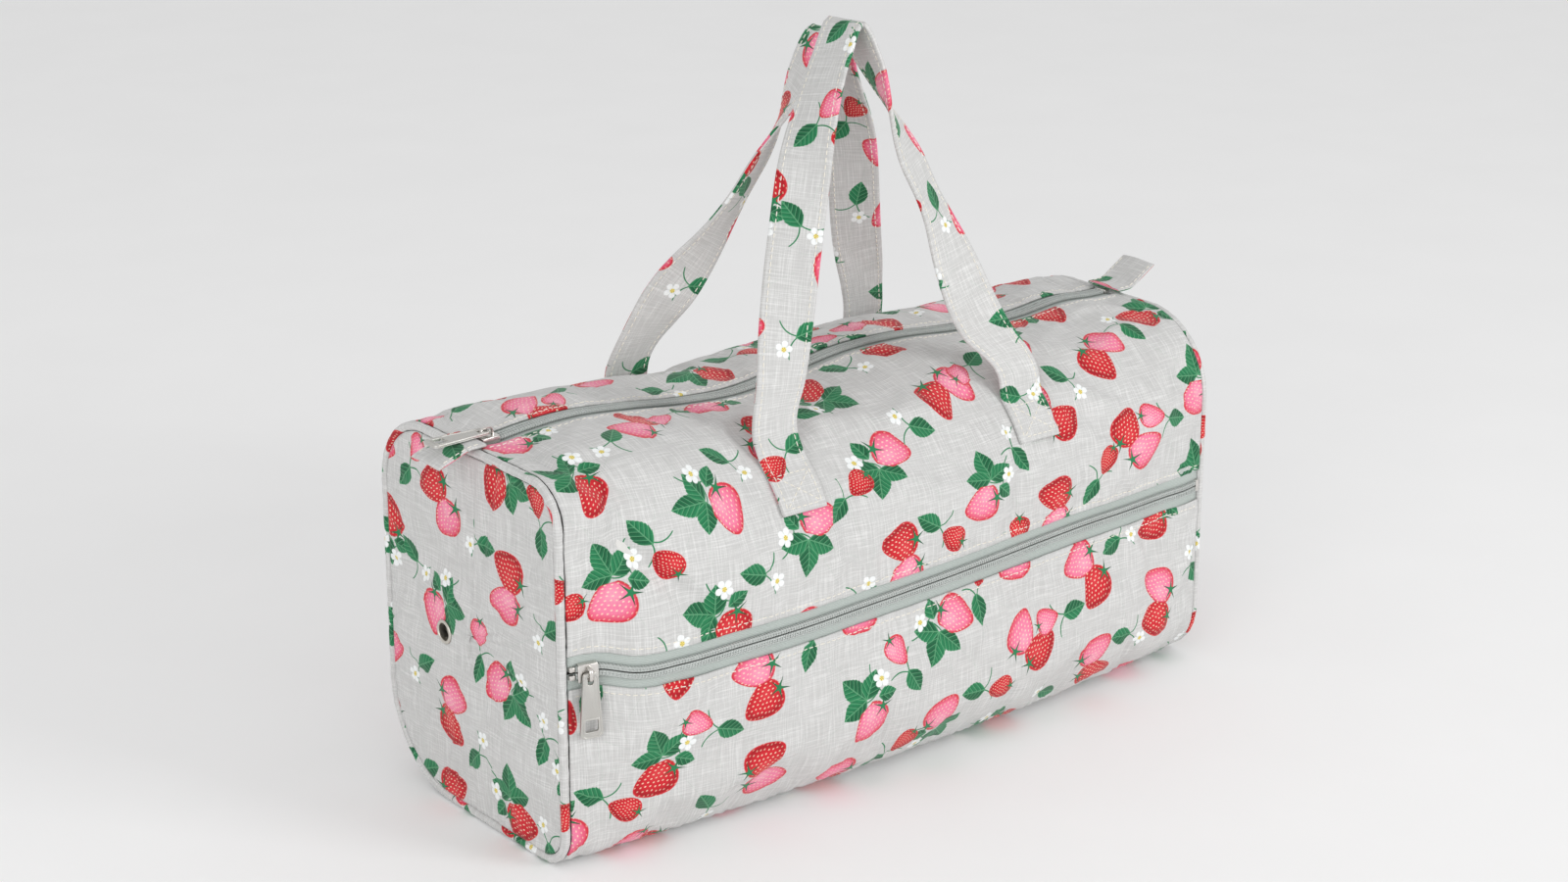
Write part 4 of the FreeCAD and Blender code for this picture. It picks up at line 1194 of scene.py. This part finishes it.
def lay_berry(paper, x, y, pink, on):
    """A berry with its tip down: darker flanks, a soft shine, staggered seeds and a star of sepals."""
    v = y / 12.5
    u = x / (9.6 + 3.4 * v)
    far = length_of(u, v)
    shape = far.step(1.03, 0.975) * on
    flank = (far + u * 0.22 - v * 0.12).step(0.5, 1.08)
    shine = length_of(u + 0.3, v - 0.25).step(0.6, 0.0)
    colour = paper.mixed(RED, PINK, pink)
    colour = paper.mixed(colour, paper.mixed(RED_LIGHT, PINK_LIGHT, pink), shine * 0.6)
    colour = paper.mixed(colour, paper.mixed(RED_DARK, PINK_DARK, pink), flank * 0.75)
    colour = paper.mixed(colour, RED, far.step(0.84, 0.96) * 0.85)
    bowed = y + x * x * 0.035
    row = (bowed / 2.3).floor()
    across = ((x / 2.6 + row * 0.5 + (row * 1.9).op("SINE") * 0.12).part() - 0.5) * 2.6
    down = ((bowed / 2.3).part() - 0.5) * 2.3
    seed = (across * across / 0.14 + down * down / 0.4).step(1.3, 0.5)
    colour = paper.mixed(colour, SEED, seed * (0.8 - flank * 0.45))
    paper.lay(colour, shape)
    drop, side = y - 10.9, x
    reach, angle = length_of(side, drop), side.op("ARCTAN2", drop)
    spike = abs((angle * 2.5).op("COSINE"))
    star = (reach * (1.0 + 3.4 * spike)).step(7.6, 6.2) * on
    paper.lay(paper.mixed(GREEN, GREEN_DARK, reach.step(1.0, 5.0)), star)


def lay_stem(paper, x, y, start, end, bow, on):
    """A thin curved stem between two points."""
    run, rise = end[0] - start[0], end[1] - start[1]
    span = math.hypot(run, rise)
    cx, cy = x - start[0], y - start[1]
    t = (cx * (run / span) + cy * (rise / span)) / span
    off = cy * (run / span) - cx * (rise / span) - t * (1.0 - t) * (4.0 * bow)
    ends = t.step(-0.02, 0.02) * t.step(1.03, 0.98)
    paper.lay(GREEN, abs(off).step(0.52, 0.22) * ends * on)


def cells(tree, u, v, shift_u, shift_v, seed):
    """Half-drop cells: the place in a cell, jittered and turned at random, and its random numbers."""
    wide, tall, jitter = 58.0, 56.0, 7.0
    gu, gv = (u + shift_u) / wide, (v + shift_v) / tall
    column = gu.floor()
    gv = gv + column * 0.5
    row = gv.floor()
    dice = tree.nodes.new("ShaderNodeTexWhiteNoise")
    dice.noise_dimensions = "2D"
    tree.links.new(join_xyz(tree, column + seed, row + seed * 1.7), dice.inputs["Vector"])
    a, b, c = parted(tree, dice.outputs["Color"], "ShaderNodeSeparateColor", 1.0)
    x = (gu - column - 0.5) * wide + (a - 0.5) * jitter
    y = (gv - row - 0.5) * tall + (b - 0.5) * jitter
    angle = (c - 0.5) * 5.2
    return *turned(x, y, angle.op("COSINE"), angle.op("SINE")), a, b, c


def print_group():
    """Berries, leaves and flowers on a slubbed cloth, from the UVs, and a height for the weave."""
    tree = bpy.data.node_groups.new("strawberry_print", "ShaderNodeTree")
    tree.interface.new_socket("Colour", in_out="OUTPUT", socket_type="NodeSocketColor")
    tree.interface.new_socket("Height", in_out="OUTPUT", socket_type="NodeSocketFloat")
    u, v = uv_wires(tree)
    wide_slub = noise(tree, join_xyz(tree, u * 0.05, v * 1.5), 1.0, 2.0, 0.6)
    tall_slub = noise(tree, join_xyz(tree, u * 1.5, v * 0.05), 1.0, 2.0, 0.6)
    patch = noise(tree, join_xyz(tree, u, v), 0.035)
    thread = wide_slub.step(0.42, 0.7) * 0.5 + tall_slub.step(0.42, 0.7) * 0.5
    paper = Paper(tree, (0.55, 0.548, 0.538), (0.705, 0.703, 0.695), thread * 0.85 + patch * 0.15)

    # Pairs of berries, and sprigs of one berry, a flower and leaves.
    x, y, a, b, _ = cells(tree, u, v, 400.0, 400.0, 5.0)
    pair, single = b.step(0.5101, 0.51), b.step(0.51, 0.5101)
    right = x.step(-0.3, 0.3)
    for start, end, bow in (
        ((0.0, 12.0), (-15.0, 17.0), 2.0),
        ((0.0, 4.0), (9.5, 8.0), 2.0),
        ((-2.0, 2.0), (-4.0, 15.0), -2.0),
    ):
        lay_stem(paper, x, y, start, end, bow, single)
    leaf_x, leaf_y = turn_by(x + 3.0, y - 3.0, 100)
    lay_leaf(paper, leaf_x, leaf_y, 19.0, 5.9, single)
    lay_leaf(paper, *turn_by(abs(leaf_x), leaf_y, -74), 16.5, 5.4, single)
    lay_leaf(paper, *turn_by(x - 1.0, y - 9.0, -35), 12.0, 4.2, single)
    lay_flower(paper, x + 4.5, y - 16.5, 4.9, single)
    pink = abs(a.step(0.5, 0.52) - right)
    lay_berry(paper, *turn_by(abs(x) - 9.8, y + 3.0, 13), pink, largest(pair, right * single))

    # Between them, three leaves with a flower or a small berry.
    x, y, a, b, c = cells(tree, u, v, 429.0, 414.0, 23.0)
    on = a.step(0.05, 0.0501)
    sprig, small = b.step(0.4101, 0.41) * on, b.step(0.41, 0.4101) * on
    lay_stem(paper, x, y, (0.0, -2.0), (9.0, 7.5), 2.0, on)
    lay_stem(paper, x, y, (0.0, -2.0), (-11.0, 4.0), -2.0, on)
    lay_leaf(paper, *turn_by(abs(x), y + 1.0, 62), 15.5, 5.2, on)
    lay_leaf(paper, x, 0.0 - y, 17.0, 5.2, on)
    lay_flower(paper, x - 3.0, y - 8.0, 4.6, sprig)
    lay_berry(paper, (x - 2.0) * 1.45, (y - 12.0) * 1.45, c.step(0.5, 0.52), small)

    # The print soaks into the cloth, so the slubs show through it.
    tint = paper.mixed((0.90, 0.90, 0.90), (1.04, 1.04, 1.04), thread)
    worn = mix(tree, paper.colour, tint, 1.0, "MULTIPLY")
    height = thread * 0.7 + sine(u, 0.9) * sine(v, 0.9) * 0.12
    out = tree.nodes.new("NodeGroupOutput")
    feed(tree, out.inputs[0], worn)
    feed(tree, out.inputs[1], height)
    return tree


def material(name, values):
    """A material with constants set on its shader, its tree and the shader."""
    made = bpy.data.materials.new(name)
    made.use_nodes = True
    shader = made.node_tree.nodes["Principled BSDF"]
    return made, made.node_tree, set_pins(shader, values)


def fibre(roughness, sheen, spread, shine=0.5):
    pins = ("Roughness", "Sheen Weight", "Sheen Roughness", "Specular IOR Level")
    return dict(zip(pins, (roughness, sheen, spread, shine)))


def bump(tree, shader, height, strength, distance):
    node = set_pins(tree.nodes.new("ShaderNodeBump"), {"Strength": strength, "Distance": distance})
    feed(tree, node.inputs["Height"], height)
    feed(tree, shader.inputs["Normal"], node.outputs[0])


def colour_by(tree, shader, low, high, share):
    feed(tree, shader.inputs["Base Color"], mix(tree, low, high, share))


def printed_cloth():
    made, tree, shader = material("printed_cloth", fibre(0.86, 0.18, 0.45, 0.25))
    design = tree.nodes.new("ShaderNodeGroup")
    design.node_tree = print_group()
    feed(tree, shader.inputs["Base Color"], design.outputs[0])
    bump(tree, shader, design.outputs[1], 0.5, 0.00025)
    return made


def plain_weave(name, low, high, pitch, roughness, sheen):
    made, tree, shader = material(name, fibre(roughness, sheen, 0.5, 0.3))
    x, y, z = place_wires(tree)
    weave = sine(x, pitch) * sine(z + y, pitch)
    fleck = noise(tree, join_xyz(tree, x, y, z), 0.8, 3.0)
    colour_by(tree, shader, low, high, fleck * 0.7 + weave * 0.15 + 0.15)
    bump(tree, shader, weave, 0.35, 0.00015)
    return made


def tape_weave():
    """A herringbone of fine ribs along the tape."""
    made, tree, shader = material("zip_tape_weave", fibre(0.72, 0.2, 0.4, 0.35))
    u, v = uv_wires(tree)
    rib = sine(u, 0.85)
    slant = sine(v + abs((u / 2.6).part() - 0.5) * 3.0, 0.7)
    fleck = noise(tree, join_xyz(tree, u * 2.0, v * 0.7), 1.0, 3.0)
    share = rib * 0.25 + slant * 0.12 + fleck * 0.8
    colour_by(tree, shader, (0.37, 0.415, 0.39), (0.52, 0.565, 0.54), share)
    bump(tree, shader, rib * 0.6 + slant * 0.3, 0.45, 0.00018)
    return made


def coil_nylon():
    made, tree, shader = material("coil_nylon", {"Roughness": 0.38, "IOR": 1.53, "Coat Weight": 0.15})
    share = noise(tree, join_xyz(tree, *place_wires(tree)), 0.9, 3.0)
    colour_by(tree, shader, (0.37, 0.395, 0.38), (0.57, 0.60, 0.58), share)
    return made


def metal(name, low, high, roughness, scratch):
    made, tree, shader = material(name, {"Metallic": 1.0})
    x, y, z = place_wires(tree)
    brushed = noise(tree, join_xyz(tree, x * 0.7, y * 6.0, z * 6.0), 1.0, 4.0, 0.65)
    colour_by(tree, shader, low, high, brushed)
    feed(tree, shader.inputs["Roughness"], brushed * scratch + roughness)
    bump(tree, shader, brushed, 0.12, 0.0001)
    return made


def thread_twist():
    made, tree, shader = material("thread_twist", fibre(0.6, 0.25, 0.4))
    x, y, z = place_wires(tree)
    twist = sine(x + y * 0.6 + z, 0.55)
    colour_by(tree, shader, (0.72, 0.67, 0.56), (0.90, 0.87, 0.79), twist * 0.3 + 0.6)
    bump(tree, shader, twist, 0.4, 0.0001)
    return made


CLOTH_LOOK = printed_cloth()
LINING_LOOK = plain_weave("lining_cotton", (0.58, 0.57, 0.55), (0.72, 0.71, 0.69), 1.1, 0.9, 0.15)
CORD_LOOK = plain_weave("cotton_filler", (0.62, 0.60, 0.56), (0.78, 0.76, 0.72), 0.9, 0.92, 0.1)
TAPE_LOOK, COIL_LOOK = tape_weave(), coil_nylon()
SLIDER_LOOK = metal("slider_metal", (0.60, 0.57, 0.54), (0.80, 0.78, 0.75), 0.2, 0.2)
PULL_LOOK = metal("pull_metal", (0.50, 0.49, 0.46), (0.66, 0.65, 0.62), 0.28, 0.22)
EYELET_LOOK = metal("eyelet_metal", (0.52, 0.49, 0.43), (0.74, 0.71, 0.65), 0.24, 0.2)
THREAD_LOOK = thread_twist()


def dress(pieces, look):
    for piece in pieces:
        piece.data.materials.clear()
        piece.data.materials.append(look)


PANELS = [front_upper_cloth, lower_and_back_cloth, left_end_cloth, right_end_cloth]
COVERS = [left_piping_cover, right_piping_cover]
FILLERS = [left_piping_filler, right_piping_filler]
dress(PANELS + COVERS, CLOTH_LOOK)
dress(STRAP_PIECES + TABS, CLOTH_LOOK)
dress(LININGS, LINING_LOOK)
dress(FILLERS, CORD_LOOK)
dress(TAPES, TAPE_LOOK)
dress(COILS, COIL_LOOK)
dress(SLIDERS + STOPS, SLIDER_LOOK)
dress(PULLS, PULL_LOOK)
dress([eyelet_ring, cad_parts["yarn_eyelet_washer"]], EYELET_LOOK)
dress(THREADS, THREAD_LOOK)


# ---- sheets ----


def declare_sheet(piece, wide, long, rests_on, area=None):
    """Turns rests_on into a list and records nothing; piece, wide, long and area are not used."""
    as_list(rests_on)


def panel_cut(surface):
    """A panel's greatest width round the bag and its flat area, from its pattern before it is filled."""
    wide = surface.lengths[:, -1] - surface.lengths[:, 0]
    return float(wide.max()), float(((wide[1:] + wide[:-1]) / 2 * np.diff(COLUMNS)).sum())


def end_cut(sign):
    """An end panel's width, height and flat area, from its outline."""
    y, z = end_edge(sign).T
    area = abs((y * np.roll(z, -1) - z * np.roll(y, -1)).sum()) / 2
    return float(np.ptp(y)), float(np.ptp(z)), float(area)


def lining_area(node, thick):
    """The area of a lining's cut: the volume of its CAD sheet over its thickness."""
    form = bmesh.new()
    form.from_mesh(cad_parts[node].data)
    volume = abs(form.calc_volume()) / MM**3
    form.free()
    return volume / thick


ENDS = ["left_piping_cover", "right_piping_cover"]
MAIN_SHEETS = ["front_upper_cloth", "lower_and_back_cloth"]
for piece, surface in ((front_upper_cloth, FRONT), (lower_and_back_cloth, BACK)):
    wide, area = panel_cut(surface)
    declare_sheet(piece, 2 * REACH, wide, ENDS, area=area)
for piece, cover, sign in ((left_end_cloth, COVERS[0], -1), (right_end_cloth, COVERS[1], 1)):
    wide, tall, area = end_cut(sign)
    declare_sheet(piece, wide, tall, [cover], area=area)
    strip = (2 * math.pi - PIPING_SLIT) * (PIPING_RADIUS + PIPING_INSIDE) / 2
    seam = float(end_outline(sign, PIPING_RADIUS)[1][-1])
    declare_sheet(cover, strip, seam, [FILLERS[sign > 0]])
for ribbon, long, thread in zip(STRAP_PIECES, STRAP_LENGTHS, THREADS):
    declare_sheet(ribbon, STRAP_WIDTH, float(long), MAIN_SHEETS)
for ribbon, thread in zip(TABS, THREADS[len(STRAP_PIECES):]):
    declare_sheet(ribbon, TAB_WIDTH, TAB_LENGTH, MAIN_SHEETS)
BOW_LENGTH = 2 * BOW_RADIUS * math.asin(TAPE_REACH / BOW_RADIUS)
for piece in TAPES:
    long = 2 * TAPE_REACH if piece in TAPES[:2] else BOW_LENGTH
    declare_sheet(piece, TAPE_EDGE - TAPE_START, long, MAIN_SHEETS)

# The linings' cuts: strips round the bag, with the parts that line its ends beside them.
INSET = 3.0
DIVIDER_Y = 57.0
LEDGE_Z = 121.0
POUCH_Z = 95.0
LINED_END = END_DEPTH * 2 - 2 * INSET
DEEPEST = FRONT_DEPTH - INSET
CORNER = BASE_FRONT_RADII[1] - INSET
POUCH = POUCH_Z - INSET - CORNER + math.pi / 2 * CORNER + (DEEPEST - CORNER - DIVIDER_Y)
GIRTH = float(outline(0.0, INSET)[1][-1])
ROUND_MAIN = GIRTH - POUCH - (LEDGE_Z - POUCH_Z)
PARTITION = (LEDGE_Z - INSET) + (DEEPEST - DIVIDER_Y)
LINED_LENGTH = 2 * (REACH + END_DEPTH - DIVIDER_Y)
for piece, node, wide, long, top, thick in (
    (LININGS[0], "main_lining", 2 * REACH + LINED_END, ROUND_MAIN, ["top_tape_front", "top_tape_rear"], 0.6),
    (LININGS[1], "needle_lining", LINED_LENGTH, POUCH, ["needle_tape_lower"], 0.6),
    (LININGS[2], "needle_divider", 2 * REACH, PARTITION, ["main_lining_cloth"], 0.8),
):
    declare_sheet(piece, wide, long, top, area=lining_area(node, thick))


# ---- floor, light and camera ----


def make_floor():
    mesh = bpy.data.meshes.new("floor")
    half, gap = 6.0, 0.0003
    corners = [(-half, -half, 0), (half, -half, 0), (half, half, 0), (-half, half, 0)]
    mesh.from_pydata(corners, [], [(0, 1, 2, 3)])
    floor = new_object("floor", mesh)
    floor.location.z = -gap
    made, tree, shader = material("floor_white", {"Roughness": 0.7, "Specular IOR Level": 0.1})
    share = noise(tree, join_xyz(tree, *place_wires(tree)), 0.01)
    colour_by(tree, shader, (0.90, 0.90, 0.90), (0.93, 0.93, 0.93), share)
    mesh.materials.append(made)


def make_light(name, where, towards, size, power):
    light = bpy.data.lights.new(name, "AREA")
    light.shape, light.size, light.energy = "SQUARE", size, power
    lamp = new_object(name, light)
    lamp.location = where
    lamp.rotation_euler = (Vector(towards) - Vector(where)).to_track_quat("-Z", "Y").to_euler()


def make_camera():
    turn, rise, distance = math.radians(-38.5), math.radians(19.16), 1.6177
    target = Vector((-0.0194, 0.0, 0.1608))
    back = Vector((math.sin(turn) * math.cos(rise), -math.cos(turn) * math.cos(rise), math.sin(rise)))
    lens = bpy.data.cameras.new("camera")
    lens.lens, lens.sensor_width, lens.clip_start = 69.87, 36.0, 0.05
    camera = new_object("camera", lens)
    camera.location = target + back * distance
    camera.rotation_euler = back.to_track_quat("Z", "Y").to_euler()
    bpy.context.scene.camera = camera


make_floor()
make_light("key", (1.1, -2.4, 0.95), (0.0, 0.0, 0.12), 0.9, 27)
make_light("side", (-2.2, -1.3, 1.0), (-0.1, 0.0, 0.12), 1.6, 20)
make_camera()
world = bpy.data.worlds.new("world")
bpy.context.scene.world = world
world.use_nodes = True
set_pins(world.node_tree.nodes["Background"], {"Color": (1, 1, 1, 1), "Strength": 0.74})
bpy.context.scene.view_settings.view_transform = "Standard"
